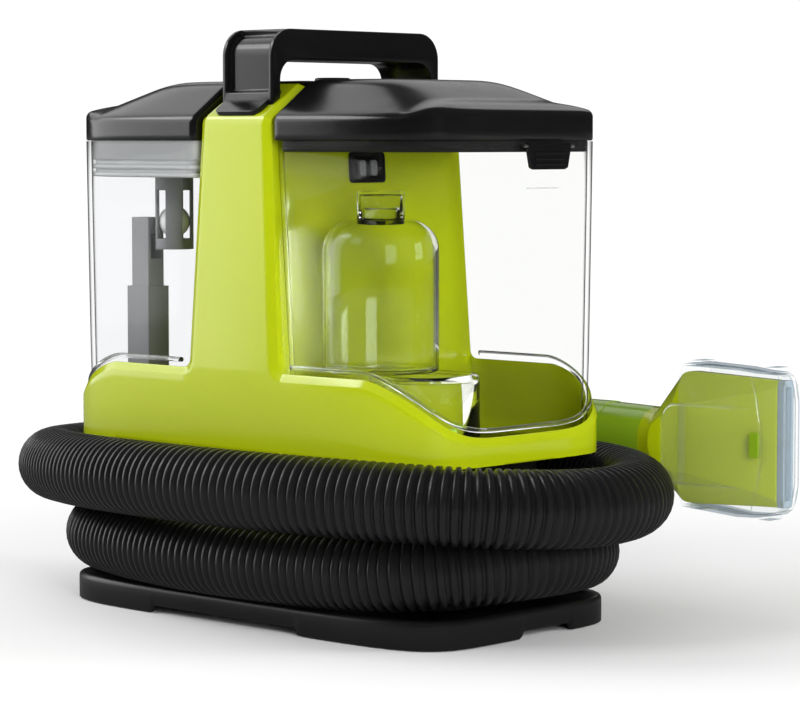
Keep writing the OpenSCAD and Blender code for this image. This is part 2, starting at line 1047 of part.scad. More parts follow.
module trigger_pin() {
    color("silver")
    translate([pivot_x, pivot_y, 0])
        rod(pin_r, tool_z - ear_z - 2.5, tool_z + ear_z + 2.5);
}

// Thin rounded plate across the tool, used as a station of its head.
module station(x, low_z, high_z, half_y, r) {
    hull()
        for (z = [low_z + r, high_z - r], y = [tool_y - half_y + r, tool_y + half_y - r])
            translate([x, y, z])
                along_x()
                    cylinder(r = r, h = 0.5, $fn = 24);
}

module neck_disc(radius) {
    translate([neck_end, tool_y, tool_z])
        along_x()
            cylinder(r = radius, h = 0.5, $fn = 32);
}

module head_form(inset) {
    hull() {
        neck_disc(18 - inset);
        station(head_start, 62.5 + inset, 138 - inset, 13 - inset, 7 - inset);
    }
    hull() {
        station(head_start, 62.5 + inset, 138 - inset, 13 - inset, 7 - inset);
        station(mouth_x - 0.5, 65 + inset, 136 - inset, 5.2 - inset, 3 - inset);
    }
}

module nozzle_body() {
    color(lime)
    difference() {
        union() {
            translate([grip_end, tool_y, tool_z])
                along_x()
                    cylinder(r1 = grip_r, r2 = 18, h = neck_end - grip_end + 0.2);
            head_form(0);
            // Raised catch for the cover.
            block([mouth_x - 13, tool_y - 9.4, 93], [mouth_x - 6, tool_y - 4.5, 107]);
        }
        translate([grip_end - 1, tool_y, tool_z])
            along_x()
                cylinder(r = 14.5, h = neck_end - grip_end + 2);
        head_form(2);
        block([mouth_x - 1, tool_y - 2.8, 69], [mouth_x + 1, tool_y + 2.8, 132]);
    }
}

module nozzle_lip() {
    color("slategray")
    difference() {
        block([mouth_x, tool_y - 4.8, 65], [mouth_x + lip_length, tool_y + 4.8, 136]);
        block([mouth_x - 1, tool_y - 2.8, 69], [mouth_x + lip_length + 1, tool_y + 2.8, 132]);
    }
}

module cover_form(inset) {
    hull() {
        station(cover_start, 58.5 + inset, 142.5 - inset, 16.5 - inset, 5 - inset);
        station(203, 58 + inset, 143 - inset, 12.5 - inset, 5 - inset);
        station(224.5 - inset, 61 + inset, 141 - inset, 9.5 - inset, 4 - inset);
        station(226.5 - inset, 74 + inset, 127 - inset, 6.5 - inset, 4 - inset);
    }
}

module nozzle_cover() {
    color(clear)
    difference() {
        cover_form(0);
        cover_form(1.6);
        // Open end towards the grip.
        block([cover_start - 1, tool_y - 14.9, 60.1], [cover_start + 0.6, tool_y + 14.9, 140.9]);
    }
}

spray_y = tool_y + 0.4;

module spray_line() {
    color("white")
    translate([grip_start - 10, spray_y, tool_z + 3])
        along_x()
            cylinder(r = 1.5, h = mouth_x - 16 - grip_start + 10);
}

module spray_tip() {
    color("dimgray")
    translate([mouth_x - 16, spray_y, tool_z + 3])
        along_x()
            cylinder(r1 = 3, r2 = 1.6, h = 18);
}

// ---------- Vacuum and water ----------

module vacuum_motor() {
    color("gray")
    difference() {
        union() {
            rod(motor_r, base_height + 6, 66);
            rod(12, 66 - eps, 68);
        }
        rod(shaft_r + run_gap, 30, 70);
        for (angle = [0 : 45 : 315])
            rotate([0, 0, angle])
                block([24, -3, 60], [34, 3, 67]);
    }
}

module motor_mount() {
    color("#202020")
    ring(motor_r, motor_r - 8, base_height, base_height + 6);
}

module motor_shaft() {
    color("silver")
    rod(shaft_r, 31, impeller_z + 13);
}

module impeller() {
    color("silver")
    difference() {
        union() {
            rod(motor_r - 2, impeller_z, impeller_z + 1.5);
            rod(9, impeller_z, impeller_z + 12);
            for (angle = [0 : 45 : 315])
                rotate([0, 0, angle])
                    block([8, -0.8, impeller_z], [motor_r - 2.5, 0.8, impeller_z + 10]);
        }
        rod(shaft_r, impeller_z - 1, impeller_z + 14);
    }
}

module fan_housing() {
    color("dimgray")
    difference() {
        rod(motor_r + 6, 68, housing_bottom - 2);
        rod(motor_r + 3.5, 70, housing_bottom - 4);
        rod(13, 60, 72);
        rod(duct_r - 2, housing_bottom - 5, housing_bottom);
        // Air outlet towards the back.
        block([-12, 30, 74], [12, 50, 86]);
    }
}

// Pipe from the fan up the tower towards the dirty tank.
module air_duct() {
    color("dimgray")
    difference() {
        union() {
            rod(duct_r, housing_bottom - 2, duct_elbow_z);
            translate([0, 0, duct_elbow_z])
                sphere(r = duct_r);
            translate([-25, 0, duct_elbow_z])
                along_x()
                    cylinder(r = duct_r, h = 25);
        }
        rod(duct_r - 2, housing_bottom - 3, duct_elbow_z);
        translate([0, 0, duct_elbow_z])
            sphere(r = duct_r - 2);
        translate([-26, 0, duct_elbow_z])
            along_x()
                cylinder(r = duct_r - 2, h = 26);
    }
}

pump_x = 101;
pump_z = base_height + 20;

module water_pump() {
    color("dimgray")
    union() {
        block([pump_x - 18, -14, base_height], [pump_x + 18, 20, base_height + 4]);
        block([pump_x - 5, -14, base_height + 3], [pump_x + 5, 20, pump_z]);
        translate([pump_x, -16, pump_z])
            along_y()
                cylinder(r = 14, h = 40);
    }
}

module supply_tube() {
    color("white")
    union() {
        translate([valve_x, valve_y, 0])
            rod(3.5, pump_z, housing_bottom);
        translate([valve_x, valve_y, pump_z])
            sphere(r = 3.5);
        translate([valve_x, valve_y, pump_z])
            along_y()
                cylinder(r = 3.5, h = -16 - valve_y);
    }
}

module control_board() {
    color("darkgreen")
    union() {
        block([-20, -66, 150], [20, -64.4, 230]);
        for (x = [-16, 16], z = [154, 226])
            translate([x, -75.5, z])
                along_y()
                    cylinder(r = 2, h = 10);
        block([-14, -64.4 - eps, 160], [2, -52, 184]);
        block([-12, -64.4 - eps, 200], [12, -58, 218]);
    }
}

module exhaust_grille() {
    color(black)
    difference() {
        block([-61.8, body_b - wall + 0.1, 108.2], [-22.2, body_b + 0.4, 127.8]);
        for (i = [0 : 8])
            block([-58 + 4 * i, body_b - wall - 2, 111], [-56 + 4 * i, body_b + 2, 125]);
    }
}

// ---------- Cord ----------

cord_r = 3;
coil_r = 20;
coil_x = -17;
coil_low = 180;
coil_high = 250;
coil_y = 87;
coil_pitch = 6.4;
coil_turns = 3;
boot_z = 148.5;
plug_top = 160;

function top_bend(y) = concat(
    [for (p = arc_points([coil_x, coil_high], coil_r, 0, 180, 10)) [p[0], y, p[1]]],
    [[coil_x - coil_r, y, coil_high]]
);

function bottom_bend(y) = concat(
    [for (p = arc_points([coil_x, coil_low], coil_r, 180, 360, 10)) [p[0], y, p[1]]],
    [[coil_x + coil_r, y, coil_low]]
);

// Coil around the two hooks: each run down the left side drifts by one pitch.
plug_y = coil_y + coil_turns * coil_pitch;
cord_path = concat(
    [[coil_x + coil_r, coil_y, boot_z]],
    [
        for (turn = [0 : coil_turns - 2])
            let (y = coil_y + turn * coil_pitch)
            each concat(top_bend(y), bottom_bend(y + coil_pitch))
    ],
    top_bend(plug_y - coil_pitch),
    [[coil_x - coil_r, plug_y, coil_low], [coil_x - coil_r, plug_y, plug_top]]
);

module power_cord() {
    color("#1a1a1a")
    sweep(cord_path, cord_r, 0, 10, [0, 1, 0]);
}

module power_plug() {
    color("#1a1a1a")
    translate([coil_x - coil_r, plug_y, 0])
        union() {
            translate([0, 0, plug_top - 8])
                cylinder(r1 = 9, r2 = 4.5, h = 8);
            rod(9, plug_top - 28, plug_top - 8 + eps);
        }
}

module plug_pins() {
    color("gold")
    translate([coil_x - coil_r, plug_y, 0])
        for (x = [-5, 5])
            block([x - 0.8, -3, plug_top - 44], [x + 0.8, 3, plug_top - 28]);
}

// Strain relief boot that turns the cord upwards out of the back wall.
module cord_grommet() {
    color("#202020")
    translate([coil_x + coil_r, 0, 0])
        difference() {
            union() {
                translate([0, coil_y, 0])
                    rod(5.5, boot_z - 5, boot_z + 9);
                translate([0, 76, boot_z])
                    along_y()
                        cylinder(r = boot_r, h = coil_y - 76);
            }
            translate([0, coil_y, 0])
                rod(cord_r, boot_z, boot_z + 10);
        }
}

lip_y = plug_y + cord_r + 1.3;

// Hook for the cord: a spigot in the tower, a post and a lip to one side.
module cord_hook(z, face_y, lip) {
    translate([coil_x, 0, z])
        along_y() {
            rod(hook_spigot_r, 72, face_y + eps);
            rod(8, face_y, lip_y);
        }
    block([coil_x - 11, lip_y - eps, z + min(lip, -8)], [coil_x + 11, lip_y + 3, z + max(lip, 8)]);
}

module lower_cord_hook() {
    color(black)
    cord_hook(spool_bottom, 80.7, -20);
}

module upper_cord_hook() {
    color(black)
    cord_hook(spool_top, 78.8, 20);
}

base_tray();
lower_shell();
main_housing();
tower_shell();
top_panel();
power_button();
handle();
handle_screws();
rubber_feet();
base_screws();
clean_tank();
clean_lid();
clean_seal();
clean_latch();
clean_latch_pin();
detergent_bottle();
bottle_cap();
filter_cup();
tank_valve();
dirty_tank();
dirty_lid();
dirty_collar();
dirty_latch();
dirty_latch_pin();
riser_duct();
float_cage();
float_ball();
right_catch();
left_catch();
suction_hose();
hose_port();
hose_cuff();
tool_cuff();
tool_holder();
tool_grip();
trigger();
trigger_pin();
nozzle_body();
nozzle_lip();
nozzle_cover();
spray_tip();
spray_line();
vacuum_motor();
motor_mount();
motor_shaft();
impeller();
fan_housing();
air_duct();
water_pump();
supply_tube();
control_board();
exhaust_grille();
power_cord();
power_plug();
plug_pins();
cord_grommet();
lower_cord_hook();
upper_cord_hook();
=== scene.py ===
"""Visual model of a portable spot extractor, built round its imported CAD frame."""
import math

import bmesh
import bpy
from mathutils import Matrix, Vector


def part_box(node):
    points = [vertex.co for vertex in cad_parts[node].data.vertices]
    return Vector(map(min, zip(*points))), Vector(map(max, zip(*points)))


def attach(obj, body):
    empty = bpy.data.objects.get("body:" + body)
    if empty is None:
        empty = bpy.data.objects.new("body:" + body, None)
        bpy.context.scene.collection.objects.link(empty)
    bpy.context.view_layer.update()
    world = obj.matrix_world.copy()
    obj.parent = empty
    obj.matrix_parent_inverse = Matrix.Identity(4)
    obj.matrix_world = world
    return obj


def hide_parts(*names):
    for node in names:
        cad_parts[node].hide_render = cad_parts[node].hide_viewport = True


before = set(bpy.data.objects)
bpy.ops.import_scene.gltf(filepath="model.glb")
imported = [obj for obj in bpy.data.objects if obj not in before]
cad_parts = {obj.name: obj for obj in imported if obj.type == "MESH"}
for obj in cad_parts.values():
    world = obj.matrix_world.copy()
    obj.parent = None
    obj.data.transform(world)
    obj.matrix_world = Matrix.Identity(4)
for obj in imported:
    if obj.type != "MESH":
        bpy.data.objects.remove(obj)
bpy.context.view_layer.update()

MM = 0.001


def box_mm(node):
    """Lowest and highest corner of a CAD node, in millimetres."""
    low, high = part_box(node)
    return low / MM, high / MM


# ---------------------------------------------------------------- driving sizes, in millimetres

BASE_LOW, BASE_HIGH = box_mm("base_tray")
HOUSING_LOW, HOUSING_HIGH = box_mm("main_housing")
TOWER_LOW, TOWER_HIGH = box_mm("tower_shell")
TANK_LOW, TANK_HIGH = box_mm("clean_tank")
LID_LOW, LID_HIGH = box_mm("clean_lid")
HANDLE_HIGH = box_mm("handle")[1]
GRIP_LOW, GRIP_HIGH = box_mm("tool_grip")
LATCH_LOW, LATCH_HIGH = box_mm("clean_latch")

PLAN_POWER = 6.2
RIM_HIGH = HOUSING_HIGH.z
RIM_LOW = 109.5
SHOULDER_START, SHOULDER_END, SHOULDER_POWER = 97.0, 148.0, 1.5
DECK = TOWER_LOW.z
TOWER_HALF_TOP, TOWER_SLOPE = 27.0, 0.0599
FOLD_Z = 281.0
FOLD_LEAN = HOUSING_HIGH.y - 78.0
CHAMFER_Y = 49.5
TANK_GAP = 2.5
TANK_WALL = 2.2
TANK_TAPER, TANK_DRAW = 1.8, 1.3
LID_BOTTOM = 268.4
LID_INNER = LID_LOW.x + 0.2


# ---------------------------------------------------------------- mesh helpers

def new_object(name, verts, faces, smooth=True):
    """A mesh object from points in millimetres."""
    mesh = bpy.data.meshes.new(name)
    mesh.from_pydata([Vector(v) * MM for v in verts], [], faces)
    mesh.update()
    if smooth:
        mesh.polygons.foreach_set("use_smooth", [True] * len(mesh.polygons))
    obj = bpy.data.objects.new(name, mesh)
    bpy.context.scene.collection.objects.link(obj)
    return obj


def finish_piece(obj, body, material, nodes=(), slot=None):
    """Gives a piece its material, its CAD body and the CAD nodes that it stands for."""
    obj.data.materials.clear()
    obj.data.materials.append(material)
    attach(obj, body)
    if nodes:
        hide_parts(*nodes)
    return obj


def tidy(obj, merge=0.01, recalc=True):
    """Merges points that coincide and points the faces outwards."""
    bm = bmesh.new()
    bm.from_mesh(obj.data)
    bmesh.ops.remove_doubles(bm, verts=bm.verts, dist=merge * MM)
    bmesh.ops.dissolve_degenerate(bm, edges=bm.edges, dist=merge * 0.2 * MM)
    if recalc:
        bmesh.ops.recalc_face_normals(bm, faces=bm.faces)
    bm.to_mesh(obj.data)
    bm.free()
    return obj


def loft(rings, closed=True, caps=(True, True)):
    """Points and faces of a skin over rings that all have the same number of points."""
    count = len(rings[0])
    verts = [p for ring in rings for p in ring]
    faces = []
    span = count if closed else count - 1
    for i in range(len(rings) - 1):
        for j in range(span):
            k = (j + 1) % count
            faces.append((i * count + j, i * count + k, (i + 1) * count + k, (i + 1) * count + j))
    if caps[0]:
        faces.append(tuple(reversed(range(count))))
    if caps[1]:
        last = (len(rings) - 1) * count
        faces.append(tuple(last + j for j in range(count)))
    return verts, faces


def join_parts(parts):
    """Several (points, faces) pairs as one."""
    verts, faces = [], []
    for part_verts, part_faces in parts:
        start = len(verts)
        verts += list(part_verts)
        faces += [tuple(start + i for i in face) for face in part_faces]
    return verts, faces


def mirrored(part, axis):
    """A (points, faces) pair mirrored across the plane through the origin."""
    verts, faces = part
    flipped = [tuple(-c if i == axis else c for i, c in enumerate(v)) for v in verts]
    return flipped, [tuple(reversed(face)) for face in faces]


def bevel(obj, width, segments=3, angle=40):
    """Rounded edges and even shading on a piece with flat faces."""
    mod = obj.modifiers.new("round_edges", "BEVEL")
    mod.width = width * MM
    mod.segments = segments
    mod.limit_method = "ANGLE"
    mod.angle_limit = math.radians(angle)
    mod.harden_normals = True
    obj.data.polygons.foreach_set("use_smooth", [True] * len(obj.data.polygons))
    return obj


def make_piece(name, part, body, material, nodes=(), slot=None, edge=None):
    """A finished piece from its (points, faces). edge holds its bevel's width, segments and angle."""
    obj = tidy(new_object(name, *part))
    if edge:
        bevel(obj, *edge)
    return finish_piece(obj, body, material, nodes, slot)


def apply_modifiers(obj):
    """Makes a piece's modifiers part of its mesh."""
    graph = bpy.context.evaluated_depsgraph_get()
    mesh = bpy.data.meshes.new_from_object(obj.evaluated_get(graph))
    obj.modifiers.clear()
    obj.data = mesh
    return obj


def cut(obj, cutter):
    """Cuts one piece's shape out of another."""
    mod = obj.modifiers.new("cut", "BOOLEAN")
    mod.operation = "DIFFERENCE"
    mod.solver = "EXACT"
    mod.object = cutter
    bpy.context.view_layer.update()
    apply_modifiers(obj)
    bpy.data.objects.remove(cutter)
    return obj


def extruded(points, place, low, high):
    """A prism: 2D points put in space by place(u, v, w) with w from low to high."""
    rings = [[place(u, v, w) for u, v in points] for w in (low, high)]
    return loft(rings)


def arc(centre, radius, start, end, steps):
    """Points along an arc in a plane, with both ends. Angles in degrees."""
    angles = [math.radians(start + (end - start) * i / steps) for i in range(steps + 1)]
    return [(centre[0] + radius * math.cos(t), centre[1] + radius * math.sin(t)) for t in angles]


def rounded_rect(low, high, radius, steps=5):
    """Outline of a rounded rectangle, anticlockwise."""
    (x0, y0), (x1, y1) = low, high
    r = min(radius, (x1 - x0) / 2, (y1 - y0) / 2)
    return (arc((x1 - r, y1 - r), r, 0, 90, steps) + arc((x0 + r, y1 - r), r, 90, 180, steps)
            + arc((x0 + r, y0 + r), r, 180, 270, steps) + arc((x1 - r, y0 + r), r, 270, 360, steps))


def resample(points, step, closed=False):
    """The same path with points about one step apart."""
    pts = [Vector(p) for p in points]
    if closed:
        pts.append(pts[0].copy())
    lengths = [0.0]
    for a, b in zip(pts, pts[1:]):
        lengths.append(lengths[-1] + (b - a).length)
    count = max(2, round(lengths[-1] / step))
    out, i = [], 0
    for k in range(count if closed else count + 1):
        target = lengths[-1] * k / count
        while i < len(pts) - 2 and lengths[i + 1] < target:
            i += 1
        span = lengths[i + 1] - lengths[i]
        out.append(pts[i].lerp(pts[i + 1], 0 if span == 0 else (target - lengths[i]) / span))
    return out


def tube(path, radius_at, sides, up, caps=(True, True)):
    """Skin of a round tube along a path. radius_at takes the distance along the path."""
    rings, travelled = [], 0.0
    for i, point in enumerate(path):
        if i:
            travelled += (point - path[i - 1]).length
        ahead = (path[min(i + 1, len(path) - 1)] - path[max(i - 1, 0)]).normalized()
        side = ahead.cross(up).normalized()
        over = side.cross(ahead)
        radius = radius_at(travelled)
        rings.append([
            point + radius * (math.cos(t) * side + math.sin(t) * over)
            for t in (2 * math.pi * k / sides for k in range(sides))
        ])
    return loft(rings, caps=caps)


def lathe(profile, place, sides=64):
    """Skin turned from (radius, height) points, with end discs unless the points close up.

    place(x, y, height) puts a point in space.
    """
    rings = []
    for radius, height in profile:
        rings.append([
            place(radius * math.cos(t), radius * math.sin(t), height)
            for t in (2 * math.pi * k / sides for k in range(sides))
        ])
    open_ended = profile[0] != profile[-1]
    return loft(rings, caps=(open_ended, open_ended))


def place_at(x, y, z=0.0):
    """Upright placement for lathe."""
    return lambda u, v, w: (x + u, y + v, z + w)


def place_along_x(y, z):
    """Placement for lathe with its height running along +X."""
    return lambda u, v, w: (w, y + u, z + v)


# ---------------------------------------------------------------- plan outline

def plan_quadrant(a, b, step=1.0):
    """Front-right quarter of the rounded outline, from the middle of the front to the right end."""
    corner_x = a * 0.5 ** (1 / PLAN_POWER)
    corner_y = b * 0.5 ** (1 / PLAN_POWER)
    count = 160
    points = [
        (x, -b * (1 - (x / a) ** PLAN_POWER) ** (1 / PLAN_POWER))
        for x in (corner_x * i / count for i in range(count))
    ]
    points += [
        (a * (1 - (y / b) ** PLAN_POWER) ** (1 / PLAN_POWER), -y)
        for y in (corner_y * (1 - i / count) for i in range(count + 1))
    ]
    return resample([(x, y, 0) for x, y in points], step)


def plan_loop(a, b, step=2.0):
    """Whole rounded outline, anticlockwise from the middle of the front."""
    quarter = plan_quadrant(a, b, step)
    right = [(p.x, p.y) for p in quarter] + [(p.x, -p.y) for p in reversed(quarter[:-1])]
    return right + [(-x, y) for x, y in reversed(right[1:-1])]


class Plan:
    """Looks up a point of the rounded outline by its distance u from the middle of the front."""

    def __init__(self, a, b):
        self.step = 0.5
        self.points = plan_quadrant(a, b, self.step)
        self.length = sum((q - p).length for p, q in zip(self.points, self.points[1:]))
        self.step = self.length / (len(self.points) - 1)

    def at(self, u):
        """Point and inward direction."""
        t = min(max(u / self.step, 0), len(self.points) - 1.001)
        i = int(t)
        point = self.points[i].lerp(self.points[i + 1], t - i)
        ahead = self.points[min(i + 2, len(self.points) - 1)] - self.points[max(i - 1, 0)]
        inward = Vector((-ahead.y, ahead.x, 0)).normalized()
        return point, inward


def rim_height(x):
    """Rim height at a distance x from the middle: level, then a falling shoulder."""
    t = min(1, max(0, (abs(x) - SHOULDER_START) / (SHOULDER_END - SHOULDER_START)))
    return RIM_LOW + (RIM_HIGH - RIM_LOW) * (1 - t ** SHOULDER_POWER) ** (1 / SHOULDER_POWER)


def tower_half(z):
    """Half-width of the tower at a height z."""
    return TOWER_HALF_TOP + (FOLD_Z - z) * TOWER_SLOPE


# ---------------------------------------------------------------- materials

class Nodes:
    """Short calls for building a material's node tree."""

    def __init__(self, name):
        self.material = bpy.data.materials.new(name)
        self.material.use_nodes = True
        self.tree = self.material.node_tree
        self.tree.nodes.clear()
        self.out = self.add("ShaderNodeOutputMaterial")

    def add(self, kind, **values):
        node = self.tree.nodes.new(kind)
        for key, value in values.items():
            setattr(node, key, value)
        return node

    def link(self, source, target):
        self.tree.links.new(source, target)

    def noise(self, scale, detail=3.0, roughness=0.55):
        coords = self.add("ShaderNodeTexCoord")
        noise = self.add("ShaderNodeTexNoise")
        noise.inputs["Scale"].default_value = scale
        noise.inputs["Detail"].default_value = detail
        noise.inputs["Roughness"].default_value = roughness
        self.link(coords.outputs["Object"], noise.inputs["Vector"])
        return noise.outputs["Fac"]

    def spread(self, value, low, high):
        node = self.add("ShaderNodeMapRange")
        node.inputs["From Min"].default_value = 0.3
        node.inputs["From Max"].default_value = 0.7
        node.inputs["To Min"].default_value = low
        node.inputs["To Max"].default_value = high
        self.link(value, node.inputs["Value"])
        return node.outputs["Result"]

    def mix(self, factor, first, second):
        node = self.add("ShaderNodeMix", data_type="RGBA")
        self.link(factor, node.inputs["Factor"])
        node.inputs[6].default_value = first
        node.inputs[7].default_value = second
        return node.outputs[2]

    def bump(self, height, strength, distance):
        node = self.add("ShaderNodeBump")
        node.inputs["Strength"].default_value = strength
        node.inputs["Distance"].default_value = distance * MM
        self.link(height, node.inputs["Height"])
        return node.outputs["Normal"]


def plastic(name, colour, rough, grain=0.12, variation=0.08, coat=0.0, metallic=0.0,
            grain_scale=2600, specular=0.5):
    """Moulded plastic or metal: faint colour drift, uneven gloss and a fine grain."""
    n = Nodes(name)
    shader = n.add("ShaderNodeBsdfPrincipled")
    drift = n.noise(14, 4)
    dark = tuple(c * (1 - variation) for c in colour[:3]) + (1.0,)
    light = tuple(min(1.0, c * (1 + variation)) for c in colour[:3]) + (1.0,)
    n.link(n.mix(n.spread(drift, 0, 1), dark, light), shader.inputs["Base Color"])
    n.link(n.spread(n.noise(90, 3), rough * 0.9, rough * 1.12), shader.inputs["Roughness"])
    n.link(n.bump(n.noise(grain_scale, 2), grain, 0.05), shader.inputs["Normal"])
    shader.inputs["Metallic"].default_value = metallic
    shader.inputs["Specular IOR Level"].default_value = specular
    shader.inputs["Coat Weight"].default_value = coat
    shader.inputs["Coat Roughness"].default_value = 0.08
    n.link(shader.outputs["BSDF"], n.out.inputs["Surface"])
    return n.material


def clear_plastic(name, tint, edge, painted_shade_from=0.66, painted_shade_to=0.97, shine=0.3, haze=0.0):
    """Clear wall: see-through face on, darker and shinier where it is seen along its surface; the darkening
    is painted shade, the edge colour standing in for the dark that refraction shows at its edges.
    """
    n = Nodes(name)
    facing = n.add("ShaderNodeLayerWeight")
    facing.inputs["Blend"].default_value = 0.5
    grazing = n.add("ShaderNodeMapRange", interpolation_type="SMOOTHSTEP")
    grazing.inputs["From Min"].default_value = painted_shade_from
    grazing.inputs["From Max"].default_value = painted_shade_to
    n.link(facing.outputs["Facing"], grazing.inputs["Value"])
    see = n.add("ShaderNodeBsdfTransparent")
    # Painted shade: the see-through colour turns to the edge colour where the wall is seen along its
    # surface.
    n.link(n.mix(grazing.outputs["Result"], tint, edge), see.inputs["Color"])
    glossy = n.add("ShaderNodeBsdfGlossy")
    glossy.inputs["Color"].default_value = (1, 1, 1, 1)
    n.link(n.spread(n.noise(40, 2), 0.03, 0.05), glossy.inputs["Roughness"])
    share = n.add("ShaderNodeMath", operation="MULTIPLY_ADD")
    share.inputs[1].default_value = shine
    share.inputs[2].default_value = 0.006
    n.link(grazing.outputs["Result"], share.inputs[0])
    mixed = n.add("ShaderNodeMixShader")
    n.link(share.outputs["Value"], mixed.inputs["Fac"])
    n.link(see.outputs["BSDF"], mixed.inputs[1])
    n.link(glossy.outputs["BSDF"], mixed.inputs[2])
    surface = mixed.outputs["Shader"]
    if haze:
        milk = n.add("ShaderNodeBsdfDiffuse")
        milk.inputs["Color"].default_value = tint
        blend = n.add("ShaderNodeMixShader")
        blend.inputs["Fac"].default_value = haze
        n.link(surface, blend.inputs[1])
        n.link(milk.outputs["BSDF"], blend.inputs[2])
        surface = blend.outputs["Shader"]
    n.link(surface, n.out.inputs["Surface"])
    return n.material


LIME = plastic("lime_shell", (0.37, 0.445, 0.003, 1), 0.16, grain=0.06, variation=0.02, coat=0.2)
OLIVE = plastic("olive_grip", (0.21, 0.36, 0.012, 1), 0.2, variation=0.05, coat=0.3)
BLACK = plastic("black_shell", (0.004, 0.004, 0.0043, 1), 0.2, grain=0.06, variation=0.2, specular=0.42)
BLACK_MATTE = plastic("black_moulding", (0.009, 0.009, 0.009, 1), 0.42, grain=0.3, variation=0.2)
BASE_BLACK = plastic("base_black", (0.005, 0.005, 0.0052, 1), 0.34, grain=0.2, variation=0.2)
HOSE = plastic("hose_black", (0.006, 0.006, 0.0062, 1), 0.36, grain=0.2, variation=0.2)
RUBBER = plastic("rubber", (0.012, 0.012, 0.012, 1), 0.6, grain=0.4, variation=0.2)
GREY = plastic("grey_moulding", (0.46, 0.47, 0.47, 1), 0.4, variation=0.04)
GREY_DARK = plastic("dark_moulding", (0.16, 0.165, 0.17, 1), 0.42, variation=0.05)
WHITE = plastic("white_moulding", (0.72, 0.73, 0.72, 1), 0.35, variation=0.03)
STEEL = plastic("steel", (0.56, 0.56, 0.55, 1), 0.3, metallic=1.0, variation=0.06)
ALUMINIUM = plastic("cast_aluminium", (0.62, 0.63, 0.64, 1), 0.42, metallic=1.0, grain=0.5)
BRASS = plastic("brass", (0.62, 0.45, 0.17, 1), 0.3, metallic=1.0, variation=0.06)
MOTOR = plastic("motor_can", (0.10, 0.105, 0.115, 1), 0.38, metallic=0.6, grain=0.3)
BOARD = plastic("circuit_board", (0.01, 0.10, 0.035, 1), 0.35, variation=0.2)
# The second colour of each clear material is painted shade for where its wall is seen along its surface.
CLEAR = clear_plastic("clear_tank", (0.985, 0.987, 0.983, 1), (0.03, 0.03, 0.03, 1))
SMOKE = clear_plastic("smoky_tank", (0.968, 0.970, 0.973, 1), (0.03, 0.03, 0.03, 1))
CLEAR_COVER = clear_plastic("clear_cover", (0.975, 0.982, 0.985, 1), (0.50, 0.57, 0.62, 1), 0.5, 0.95,
                            haze=0.03)
LIP = clear_plastic("nozzle_lip_blue", (0.55, 0.64, 0.70, 1), (0.25, 0.33, 0.40, 1), 0.4, 0.9,
                    haze=0.35)


def glass(name, colour, rough=0.0, ior=1.45):
    """Thick clear plastic that bends what is seen through it and lets light past."""
    n = Nodes(name)
    shader = n.add("ShaderNodeBsdfPrincipled")
    shader.inputs["Base Color"].default_value = colour
    shader.inputs["Transmission Weight"].default_value = 1.0
    shader.inputs["IOR"].default_value = ior
    n.link(n.spread(n.noise(60, 2), rough, rough + 0.02), shader.inputs["Roughness"])
    path = n.add("ShaderNodeLightPath")
    see = n.add("ShaderNodeBsdfTransparent")
    see.inputs["Color"].default_value = colour
    mixed = n.add("ShaderNodeMixShader")
    n.link(path.outputs["Is Shadow Ray"], mixed.inputs["Fac"])
    n.link(shader.outputs["BSDF"], mixed.inputs[1])
    n.link(see.outputs["BSDF"], mixed.inputs[2])
    n.link(mixed.outputs["Shader"], n.out.inputs["Surface"])
    return n.material


THICK_CLEAR = glass("thick_clear", (0.97, 0.98, 0.975, 1))
BOTTLE_CLEAR = glass("bottle_clear", (0.97, 0.98, 0.95, 1), ior=1.22)
CAP_CLEAR = glass("cap_clear", (0.98, 0.985, 0.97, 1), ior=1.1)


# ---------------------------------------------------------------- housing and tower

FOOT_FILLET, FILLET_STEPS = 5.0, 10
EDGE_WIDE, EDGE_DEEP = 4.6, 2.3
HOUSING_WALL = 2.5
PROFILE_STEP = 0.5
FOLD_BLEND = 4.0
CHAMFER_ANGLE = math.atan2(HOUSING_HIGH.y - FOLD_LEAN - CHAMFER_Y, TOWER_HIGH.z - FOLD_Z)
TOWER_PATH = FOLD_Z + math.hypot(HOUSING_HIGH.y - FOLD_LEAN - CHAMFER_Y, TOWER_HIGH.z - FOLD_Z)


def lean_angle(v):
    """Angle of the front face from upright at a distance v up its surface."""
    rising = math.atan2(FOLD_LEAN, FOLD_Z - RIM_HIGH)
    if v < RIM_HIGH:
        return 0.0
    t = min(1, max(0, (v - FOLD_Z + FOLD_BLEND) / (2 * FOLD_BLEND)))
    return rising + (CHAMFER_ANGLE - rising) * t * t * (3 - 2 * t)


def front_profile():
    """(setback, height, angle) of the front face at even steps up its surface."""
    rows, setback, height = [], 0.0, HOUSING_LOW.z
    for i in range(int((TOWER_PATH - HOUSING_LOW.z) / PROFILE_STEP) + 2):
        angle = lean_angle(HOUSING_LOW.z + i * PROFILE_STEP)
        rows.append((setback, height, angle))
        setback += math.sin(angle) * PROFILE_STEP
        height += math.cos(angle) * PROFILE_STEP
    return rows


FRONT = front_profile()
BODY_PLAN = Plan(HOUSING_HIGH.x, HOUSING_HIGH.y)


def on_skin(u, v, depth):
    """Point on the front face: u round the plan, v up the surface, depth into the wall."""
    t = min(max((v - HOUSING_LOW.z) / PROFILE_STEP, 0), len(FRONT) - 1.001)
    i = int(t)
    low, high = FRONT[i], FRONT[i + 1]
    setback, height, angle = (a + (b - a) * (t - i) for a, b in zip(low, high))
    point, inward = BODY_PLAN.at(u)
    point = point + inward * (setback + depth * math.cos(angle))
    return Vector((point.x, point.y, height - depth * math.sin(angle)))


def height_at(v):
    """Height above the floor at a distance v up the front face."""
    return on_skin(0, v, 0).z


